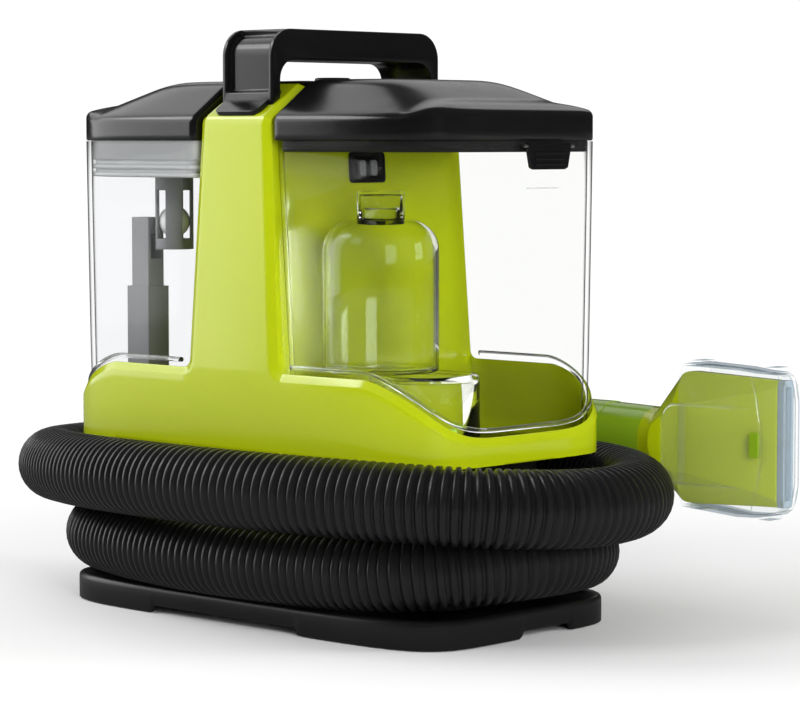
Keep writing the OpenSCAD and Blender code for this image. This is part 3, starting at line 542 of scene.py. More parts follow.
def skin_boundary():
    """Right edge of the front skin as (u, v): down the tower, round its foot, along the rim."""
    foot_z = RIM_HIGH + FOOT_FILLET
    centre_u = tower_half(foot_z) + FOOT_FILLET
    count = 70
    points = []
    for i in range(count):
        v = TOWER_PATH + (foot_z - TOWER_PATH) * i / count
        points.append((tower_half(height_at(v)), v))
    for t in (math.radians(180 + 90 * i / FILLET_STEPS) for i in range(FILLET_STEPS + 1)):
        points.append((centre_u + FOOT_FILLET * math.cos(t), foot_z + FOOT_FILLET * math.sin(t)))
    corner = len(points) - 1
    u = centre_u + 1.5
    while u < BODY_PLAN.length:
        points.append((u, rim_height(BODY_PLAN.at(u)[0].x)))
        u += 1.5
    points.append((BODY_PLAN.length, rim_height(HOUSING_HIGH.x)))
    return points, corner


def skin_quadrant():
    """Front-right quarter of the housing and tower skin."""
    border, corner = skin_boundary()
    count = len(border)
    normals = []
    for i in range(count):
        a, b = border[max(i - 1, 0)], border[min(i + 1, count - 1)]
        du, dv = b[0] - a[0], b[1] - a[1]
        size = math.hypot(du, dv)
        normals.append((dv / size, -du / size))
    inset = [(p[0] + n[0] * EDGE_WIDE, p[1] + n[1] * EDGE_WIDE) for p, n in zip(border, normals)]
    inset[-1] = (BODY_PLAN.length, inset[-1][1])
    across, down = 14, 10
    parts = []
    rows = [[on_skin(u * j / across, v, 0) for j in range(across + 1)]
            for u, v in inset[:corner + 1]]
    low = HOUSING_LOW.z
    corner_u, corner_v = inset[corner]
    for k in range(1, down + 1):
        v = corner_v + (low - corner_v) * k / down
        rows.append([on_skin(corner_u * j / across, v, 0) for j in range(across + 1)])
    parts.append(loft(rows, closed=False, caps=(False, False)))
    columns = [[on_skin(u, v + (low - v) * k / down, 0) for k in range(down + 1)]
               for u, v in inset[corner:]]
    parts.append(loft(columns, closed=False, caps=(False, False)))
    rings = []
    # Flat chamfer along the edge, softened at both ends.
    for wide, deep in ((1, 0), (0.93, 0.02), (0.86, 0.09), (0.15, 0.82), (0.05, 0.93), (0, 1)):
        rings.append([on_skin(p[0] + n[0] * EDGE_WIDE * wide, p[1] + n[1] * EDGE_WIDE * wide,
                              EDGE_DEEP * deep) for p, n in zip(border, normals)])
    rings[0] = [on_skin(u, v, 0) for u, v in inset]
    parts.append(loft(rings, closed=False, caps=(False, False)))
    foot = corner - FILLET_STEPS
    parts.append(tower_side(rings[-1][:foot + 1]))
    parts.append(rim_inside(border[foot:], rings[-1][foot:]))
    parts.append(underside([(corner_u * j / across, 0) for j in range(across)] + border[corner:]))
    return join_parts(parts)


def tower_side(edge_points):
    """Tower side, from its front edge back to the middle and down to the deck."""
    side = []
    for p in edge_points:
        half = tower_half(p.z)
        side.append([Vector((half, p.y * (1 - j / 6), p.z)) for j in range(7)])
    edge = side[-1][0]
    for k in range(1, 5):
        z = edge.z + (DECK - edge.z) * k / 4
        side.append([Vector((tower_half(z), edge.y * (1 - j / 6), z)) for j in range(7)])
    return loft(side, closed=False, caps=(False, False))


def rim_inside(border, edge_points):
    """Inner face of the rim, down to the deck, and the deck itself."""
    inner = []
    for (u, v), p in zip(border, edge_points):
        point, inward = BODY_PLAN.at(u)
        wall_point = point + inward * HOUSING_WALL
        column = [p]
        for k in range(5):
            z = v - 0.3 + (DECK - v + 0.3) * k / 4
            column.append(Vector((wall_point.x, wall_point.y, z)))
        column.append(Vector((max(0, min(wall_point.x, 60)), 0, DECK)))
        inner.append(column)
    return loft(inner, closed=False, caps=(False, False))


def underside(border):
    """Underside of the housing, in to the waist."""
    low = HOUSING_LOW.z
    waist = box_mm("lower_shell")[1]
    scale_x, scale_y = waist.x / HOUSING_HIGH.x, waist.y / HOUSING_HIGH.y
    under = []
    for u, _ in border:
        point = BODY_PLAN.at(u)[0]
        edge = on_skin(u, low, 0)
        under.append([edge, Vector((edge.x * 0.995, edge.y * 0.99, low)),
                      Vector((point.x * scale_x, point.y * scale_y, low))])
    return loft(under, closed=False, caps=(False, False))


def build_body():
    right_front = skin_quadrant()
    left_front = mirrored(right_front, 0)
    quarters = [right_front, left_front, mirrored(right_front, 1), mirrored(left_front, 1)]
    top = tower_half(TOWER_HIGH.z)
    z = height_at(TOWER_PATH) - 0.2
    lid = ([(-top, -CHAMFER_Y - 1, z), (top, -CHAMFER_Y - 1, z), (top, CHAMFER_Y + 1, z),
            (-top, CHAMFER_Y + 1, z)], [(0, 1, 2, 3)])
    body = new_object("body_skin", *join_parts(quarters + [lid]))
    tidy(body, merge=0.02, recalc=False)
    orient(body)
    finish_piece(body, "machine", LIME, ("main_housing", "tower_shell"), "lime_plastic")


def orient(obj):
    """Faces of an open skin that is symmetric about the middle all turn the same way."""
    bm = bmesh.new()
    bm.from_mesh(obj.data)
    bmesh.ops.recalc_face_normals(bm, faces=bm.faces)
    front_face = min(bm.faces, key=lambda f: f.calc_center_median().y)
    if front_face.normal.y > 0:
        bmesh.ops.reverse_faces(bm, faces=bm.faces)
    bm.to_mesh(obj.data)
    bm.free()


# ---------------------------------------------------------------- base, waist and feet

def build_base():
    """Skirted base: upright side, a softened top edge and lifted stretches between its corners."""
    a, b = BASE_HIGH.x, BASE_HIGH.y
    top = BASE_HIGH.z
    outline = resample([(x, y, 0) for x, y in plan_loop(a, b)], 1.5, closed=True)

    def lift(p):
        """How far the skirt's lower edge is raised."""
        low = BASE_LOW.z
        steps = []
        if abs(p.y) > 45:
            steps.append(min(p.x + 64, 54 - p.x))
        if abs(p.x) > 110:
            steps.append(min(p.y + 10, 34 - p.y))
        inside = max(steps + [0])
        t = min(1, max(0, inside / 3.0))
        return low + (5 - low) * t * t * (3 - 2 * t)

    def ring(inset, height):
        points = []
        for i, p in enumerate(outline):
            ahead = outline[(i + 1) % len(outline)] - outline[i - 1]
            inward = Vector((-ahead.y, ahead.x, 0)).normalized()
            q = p + inward * inset
            points.append((q.x, q.y, height(p)))
        return points

    rings = [ring(3, lambda p: top - 4), ring(3, lambda p: lift(p)), ring(2.7, lambda p: lift(p) - 0.3)]
    rings += [ring(0.4, lambda p: lift(p) - 0.3), ring(0, lambda p: lift(p) + 0.2)]
    rings += [ring(0, lambda p: top - 3.4)]
    for t in (15, 35, 55, 75, 90):
        t = math.radians(t)
        rings.append(ring(2.6 * (1 - math.cos(t)), lambda p, t=t: top - 2.6 + 2.6 * math.sin(t)))
    rings.append(ring(9, lambda p: top))
    rings.append(ring(9.8, lambda p: top - 0.8))
    rings.append(ring(40, lambda p: top - 0.8))
    base = new_object("base_skirt", *loft(rings, caps=(False, True)))
    under = new_object("base_floor", *loft([
        [(p.x * 0.98, p.y * 0.965, z) for p in outline] for z in (top - 3, top - 4)
    ]))
    finish_piece(base, "machine", BASE_BLACK, ("base_tray",), "black_plastic")
    finish_piece(tidy(under), "machine", BASE_BLACK, slot="black_plastic")


# ---------------------------------------------------------------- lids

BAND_EDGE = 3.0
LID_TOP = LID_HIGH.z
LID_END = TANK_HIGH.x + 0.5
ROOF_FLAT, ROOF_R, ROOF_ANGLE = 87.0, 75.0, math.radians(19)
CREASE = 5.0


def soft_min(a, b, width):
    """The smaller of two heights, with the crease between them rounded."""
    h = max(width - abs(a - b), 0) / width
    return min(a, b) - h * h * width / 4


def roof_height(x):
    """Roof along the machine: level, an arc, then a slope."""
    arc_end = ROOF_FLAT + ROOF_R * math.sin(ROOF_ANGLE)
    if x < ROOF_FLAT:
        return LID_TOP
    if x < arc_end:
        return LID_TOP - ROOF_R + math.sqrt(ROOF_R ** 2 - (x - ROOF_FLAT) ** 2)
    return LID_TOP - ROOF_R * (1 - math.cos(ROOF_ANGLE)) - (x - arc_end) * math.tan(ROOF_ANGLE)


def lid_height(x, y):
    """Top of a lid: a hipped skirt that follows its outline up to the roof."""
    reach = ((abs(x) / LID_END) ** PLAN_POWER + (abs(y) / LID_HIGH.y) ** PLAN_POWER) ** (1 / PLAN_POWER)
    t = min(1, max(0, (abs(x) - 118) / 20))
    band_top = FOLD_Z + 0.4 + 3.4 * t * t * (3 - 2 * t)
    slope = (LID_TOP - FOLD_Z) / (LID_HIGH.y - CHAMFER_Y)
    skirt = band_top + slope * LID_HIGH.y * (1 - reach)
    return soft_min(roof_height(x), skirt, CREASE)


def right_outline(a, b, inner, corner, step=1.5):
    """Outline of a right-hand piece: the rounded plan cut off at x = inner, with soft corners."""
    quarter = [(p.x, p.y) for p in plan_quadrant(a, b, step) if p.x > inner + corner]
    front = -b
    near = [(inner + corner - corner * math.cos(t), front + corner - corner * math.sin(t))
            for t in (math.radians(90 * i / 6) for i in range(7))]
    half = [(inner, 0)] + near + quarter
    far = [(x, -y) for x, y in reversed(half[1:])]
    if half[-1][1] == 0:
        far = far[1:]
    return resample([(x, y, 0) for x, y in half + far], step, closed=True)


def inward_of(outline, i):
    """Inward direction at a point of an anticlockwise outline."""
    ahead = outline[(i + 1) % len(outline)] - outline[i - 1]
    return Vector((-ahead.y, ahead.x, 0)).normalized()


def lid_part():
    outline = right_outline(LID_END, LID_HIGH.y, LID_INNER, 3.0)
    inward = [inward_of(outline, i) for i in range(len(outline))]
    rings = []
    for inset, z in ((4.4, LID_BOTTOM + 3), (4.4, LID_BOTTOM + 0.3), (1.2, LID_BOTTOM + 0.1),
                     (0.35, LID_BOTTOM + 0.35), (0, LID_BOTTOM + 1.2)):
        rings.append([p + n * inset + Vector((0, 0, z)) for p, n in zip(outline, inward)])
    for share in (0.35, 0.7, 1):
        rings.append([
            Vector((p.x, p.y, LID_BOTTOM + 1.2
                    + (lid_height(p.x, p.y) - BAND_EDGE - LID_BOTTOM - 1.2) * share))
            for p in outline])
    for degrees in (18, 36, 54, 72, 90):
        t = math.radians(degrees)
        ring = []
        for p, n in zip(outline, inward):
            q = p + n * BAND_EDGE * (1 - math.cos(t))
            ring.append(Vector((q.x, q.y, lid_height(q.x, q.y) - BAND_EDGE * (1 - math.sin(t)))))
        rings.append(ring)
    edge = rings[-1]
    rows = 34
    for k in range(1, rows + 1):
        ring = []
        for p in edge:
            target = Vector((min(max(p.x, 70), 112), 0, 0))
            q = Vector((p.x, p.y, 0)).lerp(target, k / rows)
            ring.append(Vector((q.x, q.y, lid_height(q.x, q.y))))
        rings.append(ring)
    return loft(rings, caps=(False, False))


def tank_half_length(z):
    """Outer half-length of a tank at a height z: it widens slightly towards the top."""
    return TANK_HIGH.x - TANK_DRAW + TANK_TAPER * (z - TANK_LOW.z) / (TANK_HIGH.z - TANK_LOW.z)


def tank_outline(z, inset, corner=7.0, step=2.0):
    """Outline of the right tank at a height z, pulled in by an inset."""
    extra = tank_half_length(z) - TANK_HIGH.x
    return right_outline(TANK_HIGH.x + extra - inset, TANK_HIGH.y + extra - inset,
                         tower_half(z) + TANK_GAP + inset, corner, step)


def tank_rings(levels, corner=7.0, count=180):
    """Rings for a loft: every (height, inset) level has the same number of points."""
    rings = []
    for z, inset in levels:
        outline = tank_outline(z, inset, max(1.5, corner - inset * 0.6), 0.5)
        pick = [outline[int(i * len(outline) / count)] for i in range(count)]
        rings.append([Vector((p.x, p.y, z)) for p in pick])
    return rings


def build_lids():
    for side, body, nodes in ((1, "clean_lid", ("clean_lid", "clean_seal")),
                              (-1, "dirty_lid", ("dirty_lid",))):
        part = lid_part()
        if side < 0:
            part = mirrored(part, 0)
        lid = tidy(new_object(body + "_shell", *part), 0.02)
        finish_piece(lid, body, BLACK, nodes, "black_plastic")
    # Plug with two sealing lips, under the clean tank's lid.
    inset = TANK_WALL + 0.3
    levels = [(LID_BOTTOM + 0.2, inset), (266.4, inset), (266.0, inset - 0.22), (265.4, inset - 0.22),
              (265.0, inset + 0.6), (264.4, inset - 0.2), (263.8, inset - 0.2), (263.4, inset),
              (262.8, inset + 0.2), (262.4, inset + 0.8), (262.4, inset + 4), (LID_BOTTOM + 0.2, inset + 4)]
    make_piece("clean_lid_plug", loft(tank_rings(levels), caps=(False, False)),
               "clean_lid", RUBBER, slot="seal_rubber")
    # Collar under the dirty tank's lid.
    levels = [(LID_BOTTOM + 0.2, inset), (258.2, inset), (257.6, inset + 0.5), (257.2, inset + 1.6)]
    for z in (254.9, 250.4):
        levels += [(z + 0.2, inset + 1.6), (z, inset + 0.2), (z - 0.4, inset - 0.2),
                   (z - 2.0, inset - 0.2), (z - 2.4, inset + 0.2), (z - 2.6, inset + 1.6)]
    levels += [(247.6, inset + 5), (LID_BOTTOM + 0.2, inset + 5)]
    collar = mirrored(loft(tank_rings(levels), caps=(False, False)), 0)
    make_piece("dirty_lid_collar", collar, "dirty_lid", GREY, ("dirty_collar",), "grey_plastic")


# ---------------------------------------------------------------- tanks

LEDGE_RISE = 2.4
LEDGE_HEIGHT = 2.6


def tank_part():
    """Clear tank with real walls: outside from the top down, then inside back up."""
    floor = TANK_LOW.z
    outside = [(TANK_HIGH.z, 0.0), (230, 0), (190, 0), (150, 0), (floor + 12, 0.3), (floor + 5, 1.4),
               (floor + 2, 3.2), (floor + 0.4, 6.0), (floor, 10)]
    inside = [(floor + 3, 12), (floor + 3.6, 8.2), (floor + 5.4, 5.2), (floor + 9, 3.4),
              (floor + 14, TANK_WALL), (150, TANK_WALL), (190, TANK_WALL), (230, TANK_WALL),
              (TANK_HIGH.z, TANK_WALL)]
    outer = tank_rings(outside, 8)
    inner = tank_rings(inside, 8)
    middle = Vector((88, 0, 0))
    shut = [[Vector((middle.x, middle.y, z)).lerp(p, 0.02) for p in rings]
            for z, rings in ((floor, outer[-1]), (floor + 3, inner[0]))]
    for ring, z in zip(shut, (floor, floor + 3)):
        for p in ring:
            p.z = z
    return loft(outer + [shut[0]], caps=(False, True)), loft([shut[1]] + inner, caps=(True, False)), \
        loft([inner[-1], outer[0]], caps=(False, False))


def ledge_part():
    """Thick clear ledge that runs round the tank just above the housing's rim."""
    quarter = [p for p in plan_quadrant(TANK_HIGH.x, TANK_HIGH.y, 1.5)
               if p.x > tower_half(RIM_HIGH) + TANK_GAP + 5]
    path = [(p, rim_height(p.x * HOUSING_HIGH.x / TANK_HIGH.x)) for p in quarter]
    path += [(Vector((p.x, -p.y, 0)), z) for p, z in reversed(path[:-1])]
    section = rounded_rect((-0.7, 0), (2.6, LEDGE_HEIGHT), 1.2, 4)
    rings = []
    for i, (p, z) in enumerate(path):
        ahead = path[min(i + 1, len(path) - 1)][0] - path[max(i - 1, 0)][0]
        inward = Vector((-ahead.y, ahead.x, 0)).normalized()
        rings.append([p + inward * w + Vector((0, 0, z + LEDGE_RISE + h)) for w, h in section])
    return loft(rings)


def build_tanks():
    for side, body, material, nodes, slot in (
            (1, "clean_tank", CLEAR, ("clean_tank",), "clear_plastic"),
            (-1, "dirty_tank", SMOKE, ("dirty_tank",), "smoke_plastic")):
        part = join_parts(tank_part())
        ledge = ledge_part()
        if side < 0:
            part, ledge = mirrored(part, 0), mirrored(ledge, 0)
        make_piece(body + "_wall", part, body, material, nodes, slot)
        make_piece(body + "_ledge", ledge, body, THICK_CLEAR, slot=slot)


def build_fill_line():
    """Thin mark for the highest water level on the clean tank's end."""
    x = tank_half_length(243) + 0.02
    outline = rounded_rect((0, 242.6), (26, 243.4), 0.3, 2)
    mark = extruded(outline, lambda u, v, w: (w, u, v), x - 0.3, x + 0.1)
    mark = new_object("clean_tank_fill_line", *mark, smooth=False)
    finish_piece(mark, "clean_tank", GREY, slot="clear_plastic")


def build_tank_fittings():
    """Detergent bottle and its cap in the clean tank."""
    low, high = box_mm("detergent_bottle")
    x, y = (low.x + high.x) / 2, (low.y + high.y) / 2
    r = (high.x - low.x) / 2
    top = high.z
    neck = 11.0
    shoulder_top = 226.0
    bend = 17.0
    wall = 1.8
    profile = [(0.05, low.z + 1.2), (r - 8, low.z + 1.0), (r - 5, low.z)]
    profile += [(r - 2 + 2 * math.cos(t), low.z + 2 + 2 * math.sin(t))
                for t in (math.radians(a) for a in (-90, -60, -30, 0))]
    profile += [(r - bend + bend * math.cos(t), shoulder_top - bend + bend * math.sin(t))
                for t in (math.radians(a) for a in range(0, 91, 9))]
    profile += [(neck + 1.2, shoulder_top), (neck + 0.3, shoulder_top + 0.8), (neck, shoulder_top + 2),
                (neck, top - 1), (neck - 1, top)]
    inner = [(max(0.05, radius - wall), z + (wall if z < low.z + 5 else 0))
             for radius, z in reversed(profile)]
    make_piece("bottle_shell", lathe(profile + inner, place_at(x, y), 72),
               "clean_tank", BOTTLE_CLEAR, ("detergent_bottle",), "clear_plastic")
    low, high = box_mm("bottle_cap")
    r = (high.x - low.x) / 2
    profile = [(r - 1.9, low.z), (r, low.z + 0.3), (r, high.z - 1.6), (r - 0.5, high.z - 0.5),
               (r - 1.6, high.z), (3, high.z), (2.4, high.z - 0.6), (0.05, high.z - 0.6),
               (0.05, high.z - 2.2), (r - 2.6, high.z - 2.2), (r - 2, high.z - 3), (r - 1.9, low.z)]
    make_piece("bottle_cap_shell", lathe(profile, place_at(x, y), 56),
               "clean_tank", CAP_CLEAR, ("bottle_cap",), "clear_plastic")


def build_filter_cup():
    """Clear cup over the valve, with a shallow dish in its top that the bottle stands in."""
    low, high = box_mm("filter_cup")
    x, y = (low.x + high.x) / 2, (low.y + high.y) / 2
    r, top = (high.x - low.x) / 2, high.z
    profile = [(r, low.z), (r - 0.3, top - 3.4)]
    profile += [(r - 0.3 - 3.2 * (1 - math.cos(t)), top - 3.2 + 3.2 * math.sin(t))
                for t in (math.radians(a) for a in (20, 45, 70, 90))]
    profile += [(r - 6, top), (r - 7, top - 0.3), (0.05, top - 0.3), (0.05, top - 2.4), (r - 5, top - 2.4),
                (r - 2.8, top - 4.4), (r - 2, low.z + 0.3), (r, low.z)]
    make_piece("filter_cup_shell", lathe(profile, place_at(x, y), 96),
               "clean_tank", BOTTLE_CLEAR, ("filter_cup",), "clear_plastic")


# ---------------------------------------------------------------- latches, catches and top

def build_latches():
    """Ribbed clips over the tanks' outer faces, tapered towards their ears."""
    face = tank_half_length(258) + 0.9
    y0, y1 = LATCH_LOW.y, LATCH_HIGH.y
    low, high = LATCH_LOW.z + 0.4, LID_BOTTOM - 0.9
    thick = 2.2
    outline = [(y0 + 5, low), (y1 - 5, low), (y1 - 2.5, low + 1), (y1, high - 3), (y1, high),
               (y0, high), (y0, high - 3), (y0 + 2.5, low + 1)]
    plate = extruded(outline, lambda u, v, w: (w, u, v), face, face + thick)
    ribs = []
    for i in range(3):
        z = low + 2.2 + 3 * i
        rib = rounded_rect((y0 + 5.5, z), (y1 - 5.5, z + 1.5), 0.7, 3)
        ribs.append(extruded(rib, lambda u, v, w: (w, u, v), face + thick - 0.2, face + thick + 0.7))
    for side, body in ((1, "clean_latch"), (-1, "dirty_latch")):
        parts = [plate] + ribs
        if side < 0:
            parts = [mirrored(part, 0) for part in parts]
        make_piece(body + "_clip", join_parts(parts),
                   body, BLACK, (body,), "black_plastic", edge=(0.45, 2))


def build_catches():
    """Black window frames in the tower's sides with a hook in each."""
    for side, body in ((1, "right_catch"), (-1, "left_catch")):
        low, high = box_mm(body)

        def place(u, v, w, side=side):
            return (side * (tower_half(v) + w), u, v)

        outer = rounded_rect((low.y, low.z), (high.y, high.z), 2.5)
        inner = rounded_rect((low.y + 2.4, low.z + 2.2), (high.y - 2.4, high.z - 2.2), 1.5)
        rings = [[place(u, v, w) for u, v in shape]
                 for shape, w in ((outer, -0.2), (outer, 1.1), (inner, 1.1), (inner, 0.15))]
        frame_part = loft(rings, caps=(False, True))
        hook = []
        for shift in (-4.6, 4.6):
            y = (low.y + high.y) / 2 + shift
            shape = rounded_rect((y - 2.6, low.z + 4), (y + 2.6, high.z - 4.5), 1.6, 4)
            hook.append(extruded(shape, place, 0.1, 1.9))
        if side < 0:
            frame_part = (frame_part[0], [tuple(reversed(f)) for f in frame_part[1]])
        make_piece(body + "_window", frame_part, body, BLACK, (body,), "black_plastic")
        make_piece(body + "_hook", join_parts(hook),
                   body, GREY_DARK, slot="black_plastic", edge=(0.5, 2))


def build_top():
    """Black panel between the lids and the power button in it."""
    low, high = box_mm("top_panel")
    shape = rounded_rect((low.x, low.y), (high.x, high.y), 5)
    panel = extruded(shape, lambda u, v, w: (u, v, w), low.z - 0.4, high.z)
    make_piece("top_panel_plate", panel,
               "machine", BLACK, ("top_panel",), "black_plastic", edge=(0.7, 3))
    low, high = box_mm("power_button")
    r, top = 10.3, high.z
    profile = [(0.05, top - 6), (r, top - 6), (r, top - 1.2), (r - 0.35, top - 0.4), (r - 1.2, top),
               (r - 3.2, top - 0.1), (r - 5, top - 0.7), (r - 8, top - 1.1), (0.05, top - 1.2)]
    make_piece("power_button_cap", lathe(profile, place_at(0, 0), 64),
               "power_button", BLACK_MATTE, ("power_button",), "black_plastic")
    ring = [(r + 0.25, high.z - 3.2), (r + 0.25, high.z - 2.2), (r + 0.8, high.z - 1.8),
            (r + 1.9, high.z - 1.8), (r + 2.4, high.z - 2.3), (r + 2.4, high.z - 3.2),
            (r + 0.25, high.z - 3.2)]
    make_piece("power_button_ring", lathe(ring, place_at(0, 0), 64),
               "machine", GREY_DARK, slot="black_plastic")


# ---------------------------------------------------------------- handle

HANDLE_LEG = 6.6
HANDLE_GRIP = 17.0
HANDLE_CORNER = 15.0


def build_handle():
    """Arch with thin hollowed legs and a rounded grip, standing on the tower's chamfers."""
    y, top = 67.8, HANDLE_HIGH.z
    half = HANDLE_HIGH.x
    slope = math.tan(math.pi / 2 - CHAMFER_ANGLE)

    def foot_z(at_y):
        return FOLD_Z + (HOUSING_HIGH.y - FOLD_LEAN - abs(at_y)) * slope

    outer = arc((y - HANDLE_CORNER, top - HANDLE_CORNER), HANDLE_CORNER, 0, 90, 10)
    outer += [(-u, v) for u, v in reversed(outer)]
    inner_y, inner_top = y - HANDLE_LEG, top - HANDLE_GRIP
    inner = arc((-inner_y + 11, inner_top - 11), 11, 180, 90, 8)
    inner += [(-u, v) for u, v in reversed(inner)]
    outline = [(y, foot_z(y) - 0.5)] + outer + [(-y, foot_z(y) - 0.5), (-inner_y, foot_z(inner_y) - 0.5)]
    outline += inner + [(inner_y, foot_z(inner_y) - 0.5)]
    arch = tidy(new_object("handle_arch", *extruded(
        outline, lambda u, v, w: (w, u, v), -half, half), smooth=False))
    # A channel runs up the outer face of each leg and over its corner.
    floor = arc((y - HANDLE_CORNER, top - HANDLE_CORNER), HANDLE_CORNER - 3.6, 0, 78, 12)
    tip = floor[-1]
    for side in (-1, 1):
        shape = [(y + 4, 294.6), (y - 3.6, 295.8)] + floor + [(tip[0] + 2, top + 4), (y + 4, top + 4)]
        shape = [(side * u, v) for u, v in shape]
        tool = tidy(new_object("hollow_tool", *extruded(
            shape, lambda u, v, w: (w, u, v), -half + 3.8, half - 3.8), smooth=False))
        bevel(tool, 1.2, 3, 50)
        apply_modifiers(tool)
        cut(arch, tool)
    bevel(arch, 1.7, 4, 32)
    finish_piece(arch, "machine", BLACK, ("handle",), "black_plastic")
    for side in (-1, 1):
        build_tongue(side, foot_z)


def build_tongue(side, foot_z):
    """Plate with rounded lower corners that lies on the tower's chamfer below a leg."""
    low_y, high_y = HOUSING_HIGH.y - FOLD_LEAN - 1.6, 62.0
    half, thick = 17.0, 3.0
    slope_length = math.hypot(low_y - high_y, foot_z(high_y) - foot_z(low_y))
    along = Vector((0, -(low_y - high_y), foot_z(high_y) - foot_z(low_y))).normalized()
    out = Vector((0, along.z, -along.y))

    def place(u, v, w):
        p = Vector((u, low_y, foot_z(low_y))) + along * v + out * w
        return (p.x, side * p.y, p.z)

    shape = rounded_rect((-half, 0), (half, slope_length + 8), 4.5, 6)
    plate = tidy(new_object(f"handle_tongue_{'back' if side > 0 else 'front'}",
                            *extruded(shape, place, -0.4, thick), smooth=False))
    bevel(plate, 0.6, 3, 40)
    finish_piece(plate, "machine", BLACK, slot="black_plastic")


# ---------------------------------------------------------------- hose

HOSE_R = 21.0
HOSE_PITCH = 5.2
RIB_DEPTH = 2.1


def winding(half_x, half_y, end_r):
    """One turn seen from above: two end arcs and a front arc, open along its straight back."""
    front_r = ((half_x - end_r) ** 2 + half_y ** 2 - end_r ** 2) / (2 * (half_y - end_r))
    centre_x = half_x - end_r
    turn = math.degrees(math.asin(centre_x / (front_r - end_r)))
    return (arc((centre_x, 0), end_r, 90, -90 + turn, 60)
            + arc((0, front_r - half_y), front_r, -90 + turn, -90 - turn, 60)[1:]
            + arc((-centre_x, 0), end_r, 270 - turn, 90, 60)[1:])


def link(from_x, start, end, length):
    """Double bend between two straight runs, given as (y, z)."""
    step = Vector((end[0] - start[0], end[1] - start[1]))
    across = step.length
    bend = (length ** 2 + across ** 2) / (4 * across)
    turn = math.degrees(2 * math.atan(across / length))
    path = arc((0, bend), bend, -90, -90 + turn, 16)
    path += arc((length, across - bend), bend, 90 + turn, 90, 16)[1:]
    return [(from_x + u, start[0] + step.x * v / across, start[1] + step.y * v / across)
            for u, v in path]


def hose_path():
    """Centre line of the hose, from its socket at the back to the parked tool."""
    lower_x, lower_y, lower_r, lower_z = 162.0, 89.0, 75.0, 38.5
    upper_x, upper_y, upper_r, upper_z = 195.0, 119.0, 93.0, 75.2
    port_x = box_mm("hose_cuff")[0].x - 0.5
    tool_x, tool_z = GRIP_LOW.x + 14, (GRIP_LOW.z + GRIP_HIGH.z) / 2
    tool_y = 132.0

    def lower(p):
        return (p[0], p[1], lower_z + 7 * (max(0, p[0] - lower_x + lower_r) / lower_r) ** 2)

    def upper(p):
        rise = 7.5 * (p[1] / upper_y) ** 2 if p[1] < 0 else 2.8 * (p[1] / upper_r) ** 2
        lean = 2.5 * (max(0, p[0]) / upper_x) ** 2 * p[1] / upper_y
        return (p[0], p[1], upper_z + rise - lean)

    path = [(port_x, lower_r, lower_z)]
    path += [lower(p) for p in winding(lower_x, lower_y, lower_r)]
    path += link(-(lower_x - lower_r), (lower_r, lower_z), (upper_r, upper_z + 2.8), 120)[1:]
    path += [upper(p) for p in winding(upper_x, upper_y, upper_r)]
    path += link(-(upper_x - upper_r), (upper_r, upper_z + 2.8), (tool_y, tool_z), 120)[1:]
    path.append((tool_x - 2, tool_y, tool_z))
    return resample(path, HOSE_PITCH / 8)


def build_hose():
    def radius(s):
        phase = (s / HOSE_PITCH) % 1.0
        crest = 0.66
        if phase > crest:
            return HOSE_R - RIB_DEPTH
        t = (phase / crest - 0.5) * 2
        return HOSE_R - RIB_DEPTH + RIB_DEPTH * math.sqrt(max(0, 1 - t ** 4))

    path = hose_path()
    hose = new_object("suction_hose_ribbed", *tube(path, radius, 32, Vector((0, 0, 1))))
    finish_piece(hose, "machine", HOSE, ("suction_hose",), "hose_plastic")


# ---------------------------------------------------------------- hand tool

TOOL_Y, TOOL_Z = 132.0, 98.0
NECK_END, HEAD_START, MOUTH_X = 138.0, 155.0, 219.0
LIP_LENGTH = 4.5


def head_ring(x, low, high, half, cut_y, cut_z, round_r=0.0):
    """Outline of the tool's head across X: a rectangle with cut corners, or a circle."""
    corners = [(half, low + cut_z), (half, high - cut_z), (half - cut_y, high), (cut_y - half, high),
               (-half, high - cut_z), (-half, low + cut_z), (cut_y - half, low), (half - cut_y, low)]
    ring = []
    for i, count in enumerate((10, 3, 4, 3, 10, 3, 4, 3)):
        start, end = Vector(corners[i]), Vector(corners[(i + 1) % 8])
        for k in range(count):
            p = start.lerp(end, k / count)
            if round_r:
                p = Vector((0, TOOL_Z)) + (p - Vector((0, TOOL_Z))).normalized() * round_r
            ring.append(Vector((x, TOOL_Y + p.x, p.y)))
    return ring


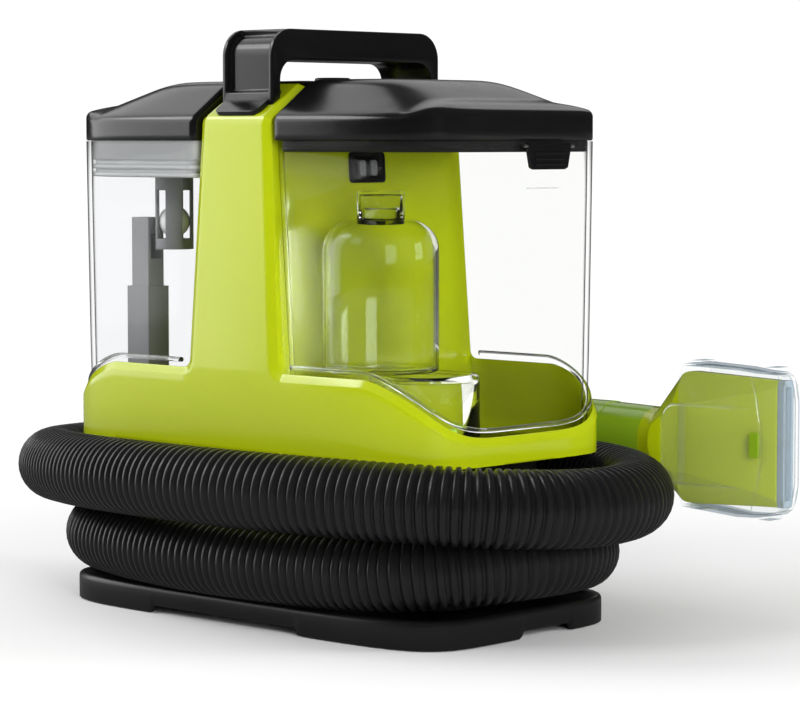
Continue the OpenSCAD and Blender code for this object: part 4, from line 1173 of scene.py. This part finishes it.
def build_tool():
    # Dark green grip with shallow rings, then the lime neck and head.
    low, high = GRIP_LOW.x + 14, GRIP_HIGH.x
    r = 19.4
    profile = [(14.5, low - 12), (18, low - 12), (18, low)]
    profile += [(r - 0.9, low), (r, low + 0.9), (r, low + 8), (r - 0.8, low + 9), (r - 0.8, low + 40),
                (r, low + 42), (r, high - 1), (r - 0.5, high - 0.3), (14.5, high - 0.3), (14.5, low - 12)]
    make_piece("tool_grip_body", lathe(profile, place_along_x(TOOL_Y, TOOL_Z), 64),
               "machine", OLIVE, slot="olive_plastic")

    stations = []
    for x, radius in ((high - 0.2, r - 0.4), (high + 10, 18.7), (NECK_END - 6, 18.0)):
        stations.append([Vector((x, TOOL_Y + radius * math.cos(t), TOOL_Z + radius * math.sin(t)))
                         for t in (2 * math.pi * k / 48 for k in range(48))])
    make_piece("tool_neck", loft(stations, caps=(False, False)), "machine", OLIVE, slot="olive_plastic")
    circle = (80, 116, 18, 7, 9)
    shape = [(NECK_END - 7, *circle, 18.1), (NECK_END - 1, *circle, 18.4), (NECK_END + 1, *circle, 18.9),
             (HEAD_START - 2, 63.8, 136.6, 14.6, 10.4, 17), (HEAD_START + 1, 62.8, 137.8, 13.8, 10.2, 18),
             (HEAD_START + 6, 62.6, 138, 12.8, 9.6, 18), (MOUTH_X - 12, 64.6, 136.4, 6.9, 4.4, 8),
             (MOUTH_X, 65, 136, 5.2, 2, 4), (MOUTH_X, 69, 132, 3, 1, 2), (MOUTH_X - 20, 69, 132, 3.6, 1, 2)]
    rings = [head_ring(*station) for station in shape]
    make_piece("tool_head", loft(rings, caps=(False, True)),
               "machine", LIME, ("nozzle_body",), "lime_plastic", edge=(0.9, 2, 14))
    end = MOUTH_X + LIP_LENGTH
    lip_shape = [(MOUTH_X, 65, 136, 4.8, 1, 3), (end, 65, 136, 4.8, 1, 3), (end, 69, 132, 2.8, 0.6, 2),
                 (MOUTH_X + 1, 69, 132, 2.8, 0.6, 2)]
    make_piece("tool_lip", loft([head_ring(*s) for s in lip_shape]),
               "machine", LIP, ("nozzle_lip",), "lip_plastic", edge=(0.4, 2, 30))
    build_cover()


def cover_half(x):
    """Half-width of the clear cover at a distance x."""
    return 16.4 - (x - 159) * 0.085


def fading_line(points, radius=0.65, fade=14.0):
    """Thin raised line that sinks away at both ends."""
    path = resample(points, 1.5)
    length = sum((b - a).length for a, b in zip(path, path[1:]))
    return tube(path, lambda s: 0.03 + radius * min(1, s / fade, (length - s) / fade), 10,
                Vector((0, 1, 0.01)))


def build_cover():
    """Clear cover over the head: a thin shell, side tongues, raised outlines and clip tabs."""
    outside = [(159, 61.5, 143, 16.3, 4, 8), (165, 61, 143, 15.9, 4, 8), (195, 58.4, 142, 13.3, 4, 8),
               (207, 58.8, 140.8, 12.2, 4, 7), (219, 60.8, 140.4, 10, 3.5, 6), (223.5, 64, 138, 8.8, 3, 6),
               (226.3, 73, 128, 6.4, 3, 6)]
    wall = 1.4
    inside = [(x - (wall if i > 4 else 0), low + wall, high - wall, half - wall, a - 0.5, b - 0.5)
              for i, (x, low, high, half, a, b) in enumerate(outside)]
    outer = [head_ring(*s) for s in outside]
    inner = [head_ring(*s) for s in inside]
    shell = join_parts([loft(outer, caps=(False, True)), loft(inner[::-1], caps=(True, False)),
                        loft([inner[0], outer[0]], caps=(False, False))])
    make_piece("tool_cover_shell", shell,
               "nozzle_cover", CLEAR_COVER, ("nozzle_cover",), "clear_plastic", edge=(0.5, 2, 18))
    for side, name in ((-1, "front"), (1, "back")):

        def place(u, v, w, side=side):
            return (u, TOOL_Y + side * (cover_half(u) + w), v)

        outline = rounded_rect((148, 75), (260, 120), 9, 8)[9:27]
        tongue = extruded([(163, 120)] + outline + [(163, 75)], place, -1.2, 0.1)
        make_piece(f"tool_cover_tongue_{name}", tongue,
                   "nozzle_cover", CLEAR_COVER, slot="clear_plastic", edge=(0.4, 2))
        ridge = [place(u, v, 0.1) for u, v in [(206, 120)] + outline + [(206, 75)]]
        seam = [place(206 + 7 * (1 - ((z - 100) / 40) ** 2), z, 0) for z in range(62, 140, 2)]
        lines = tidy(new_object(f"tool_cover_ridge_{name}",
                                *join_parts([fading_line(ridge), fading_line(seam)])))
        finish_piece(lines, "nozzle_cover", THICK_CLEAR, slot="clear_plastic")
    tabs = []
    for x, z0, z1 in ((160, 141.6, 144.6), (211, 139.4, 143.2), (160, 60, 62.6), (207, 57.6, 60.4)):
        shape = rounded_rect((x, z0), (x + 9, z1), 1.0, 3)
        tabs.append(extruded(shape, lambda u, v, w: (u, w, v), TOOL_Y - 6, TOOL_Y + 6))
    make_piece("tool_cover_tabs", join_parts(tabs),
               "nozzle_cover", CLEAR_COVER, slot="clear_plastic", edge=(0.4, 2))
    clip = extruded(rounded_rect((206, 93), (212, 107), 1, 3), lambda u, v, w: (u, w, v),
                    TOOL_Y - 13, TOOL_Y - 12)
    make_piece("tool_cover_clip", clip, "nozzle_cover", OLIVE, slot="clear_plastic", edge=(0.3, 2))


# ---------------------------------------------------------------- CAD nodes that stay

def keep_nodes():
    """Materials, and softened edges, for the CAD nodes that are shown as they are."""
    looks = {
        BLACK_MATTE: "hose_port tool_holder trigger exhaust_grille lower_cord_hook upper_cord_hook "
                     "power_plug hose_cuff tool_cuff lower_shell",
        RUBBER: "rubber_feet motor_mount cord_grommet power_cord",
        OLIVE: "tool_grip tank_valve",
        GREY: "supply_tube spray_line",
        WHITE: "float_ball",
        GREY_DARK: "riser_duct float_cage fan_housing air_duct water_pump spray_tip",
        STEEL: "handle_screws base_screws clean_latch_pin dirty_latch_pin trigger_pin motor_shaft",
        ALUMINIUM: "impeller",
        MOTOR: "vacuum_motor",
        BOARD: "control_board",
        BRASS: "plug_pins",
    }
    softened = {"hose_port": 1.2, "tool_holder": 1.0, "trigger": 0.8, "lower_cord_hook": 1.2,
                "upper_cord_hook": 1.2, "power_plug": 1.0, "riser_duct": 1.2, "float_cage": 0.4,
                "hose_cuff": 0.5, "tool_cuff": 0.5, "water_pump": 0.8, "vacuum_motor": 0.8}
    for material, names in looks.items():
        for name in names.split():
            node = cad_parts[name]
            node.data.materials.clear()
            node.data.materials.append(material)
            node.data.polygons.foreach_set("use_smooth", [True] * len(node.data.polygons))
            if name in softened:
                weld = node.modifiers.new("weld", "WELD")
                weld.merge_threshold = 0.00001
                bevel(node, softened[name], 3, 35)
            else:
                split = node.modifiers.new("edges", "EDGE_SPLIT")
                split.split_angle = math.radians(35)


# ---------------------------------------------------------------- studio

CAMERA_AT = (1.1663, -1.2025, 0.2690)
CAMERA_TURN = (90 - 4.194, 0, 42.817)
LENS = 132.1


def area_light(name, at, target, size, power, reflected=True):
    data = bpy.data.lights.new(name, "AREA")
    data.shape = "RECTANGLE"
    data.size, data.size_y = size
    data.energy = power
    light = bpy.data.objects.new(name, data)
    light.location = at
    light.rotation_euler = (Vector(target) - Vector(at)).to_track_quat("-Z", "Y").to_euler()
    light.visible_glossy = reflected
    bpy.context.scene.collection.objects.link(light)


def build_floor():
    size = 12000
    floor = new_object("studio_floor", [(-size, -size, 0), (size, -size, 0), (size, size, 0),
                                        (-size, size, 0)], [(0, 1, 2, 3)], smooth=False)
    n = Nodes("studio_white")
    lit = n.add("ShaderNodeBsdfDiffuse")
    lit.inputs["Color"].default_value = (0.86, 0.86, 0.86, 1)
    dark = n.add("ShaderNodeBsdfDiffuse")
    dark.inputs["Color"].default_value = (0.25, 0.25, 0.25, 1)
    path = n.add("ShaderNodeLightPath")
    mixed = n.add("ShaderNodeMixShader")
    n.link(path.outputs["Is Glossy Ray"], mixed.inputs["Fac"])
    n.link(lit.outputs["BSDF"], mixed.inputs[1])
    n.link(dark.outputs["BSDF"], mixed.inputs[2])
    # Far from the object the floor fades into the white background.
    coords = n.add("ShaderNodeTexCoord")
    distance = n.add("ShaderNodeVectorMath", operation="LENGTH")
    n.link(coords.outputs["Object"], distance.inputs[0])
    fade = n.add("ShaderNodeMapRange", interpolation_type="SMOOTHSTEP")
    fade.inputs["From Min"].default_value = 0.3
    fade.inputs["From Max"].default_value = 0.75
    n.link(distance.outputs["Value"], fade.inputs["Value"])
    seen = n.add("ShaderNodeMath", operation="MULTIPLY")
    n.link(fade.outputs["Result"], seen.inputs[0])
    n.link(path.outputs["Is Camera Ray"], seen.inputs[1])
    white = n.add("ShaderNodeEmission")
    white.inputs["Color"].default_value = (1, 1, 1, 1)
    white.inputs["Strength"].default_value = 1.05
    faded = n.add("ShaderNodeMixShader")
    n.link(seen.outputs["Value"], faded.inputs["Fac"])
    n.link(mixed.outputs["Shader"], faded.inputs[1])
    n.link(white.outputs["Emission"], faded.inputs[2])
    n.link(faded.outputs["Shader"], n.out.inputs["Surface"])
    floor.data.materials.append(n.material)


WORLD_DIFFUSE = (0.10, 0.50)
WORLD_GLOSSY = (0.02, 0.10)


def build_world():
    """White to the camera and through glass, soft for diffuse light, dark in reflections."""
    world = bpy.data.worlds.new("studio")
    world.use_nodes = True
    bpy.context.scene.world = world
    tree = world.node_tree
    tree.nodes.clear()
    path = tree.nodes.new("ShaderNodeLightPath")
    coords = tree.nodes.new("ShaderNodeTexCoord")
    split = tree.nodes.new("ShaderNodeSeparateXYZ")
    tree.links.new(coords.outputs["Generated"], split.inputs["Vector"])

    def background(low, high):
        ramp = tree.nodes.new("ShaderNodeMapRange")
        ramp.inputs["From Max"].default_value = 0.9
        ramp.inputs["To Min"].default_value = low
        ramp.inputs["To Max"].default_value = high
        shade = tree.nodes.new("ShaderNodeBackground")
        shade.inputs["Color"].default_value = (1, 1, 1, 1)
        tree.links.new(split.outputs["Z"], ramp.inputs["Value"])
        tree.links.new(ramp.outputs["Result"], shade.inputs["Strength"])
        return shade.outputs["Background"]

    def choose(factor, first, second):
        mixed = tree.nodes.new("ShaderNodeMixShader")
        tree.links.new(factor, mixed.inputs["Fac"])
        tree.links.new(first, mixed.inputs[1])
        tree.links.new(second, mixed.inputs[2])
        return mixed.outputs["Shader"]

    lit = choose(path.outputs["Is Glossy Ray"], background(*WORLD_DIFFUSE), background(*WORLD_GLOSSY))
    seen = tree.nodes.new("ShaderNodeMath")
    seen.operation = "MAXIMUM"
    tree.links.new(path.outputs["Is Camera Ray"], seen.inputs[0])
    tree.links.new(path.outputs["Is Transmission Ray"], seen.inputs[1])
    out = tree.nodes.new("ShaderNodeOutputWorld")
    shown = choose(seen.outputs["Value"], lit, background(1.05, 1.05))
    tree.links.new(shown, out.inputs["Surface"])


def build_studio():
    scene = bpy.context.scene
    scene.view_settings.view_transform = "Standard"
    build_floor()
    build_world()
    area_light("front_key", (-0.5, -1.9, 1.5), (0, 0, 0.15), (0.9, 0.9), 15, reflected=False)
    area_light("right_fill", (1.8, -0.9, 0.6), (0.05, 0, 0.15), (0.8, 0.8), 30, reflected=False)
    area_light("left_box", (-1.80, -0.93, 0.74), (0, 0, 0.25), (1.5, 1.6), 22)
    area_light("high_strip", (-1.3, -0.9, 1.5), (0, 0, 0.2), (1.0, 0.5), 9)
    area_light("high_left_box", (-1.7, 0.3, 1.7), (0, 0, 0.25), (1.3, 1.3), 7)
    area_light("back_left_box", (-1.2, 1.7, 1.3), (0, 0, 0.25), (1.6, 0.9), 3)
    area_light("back_right_fill", (1.3, 0.9, 0.5), (0.03, 0.1, 0.2), (0.5, 0.6), 12, reflected=False)
    data = bpy.data.cameras.new("camera")
    data.lens = LENS
    data.sensor_width = 36
    data.clip_end = 50
    camera = bpy.data.objects.new("camera", data)
    camera.location = CAMERA_AT
    camera.rotation_euler = [math.radians(angle) for angle in CAMERA_TURN]
    scene.collection.objects.link(camera)
    scene.camera = camera


build_body()
build_base()
build_lids()
build_tanks()
build_tank_fittings()
build_fill_line()
build_filter_cup()
build_latches()
build_catches()
build_top()
build_handle()
build_hose()
build_tool()
keep_nodes()
build_studio()
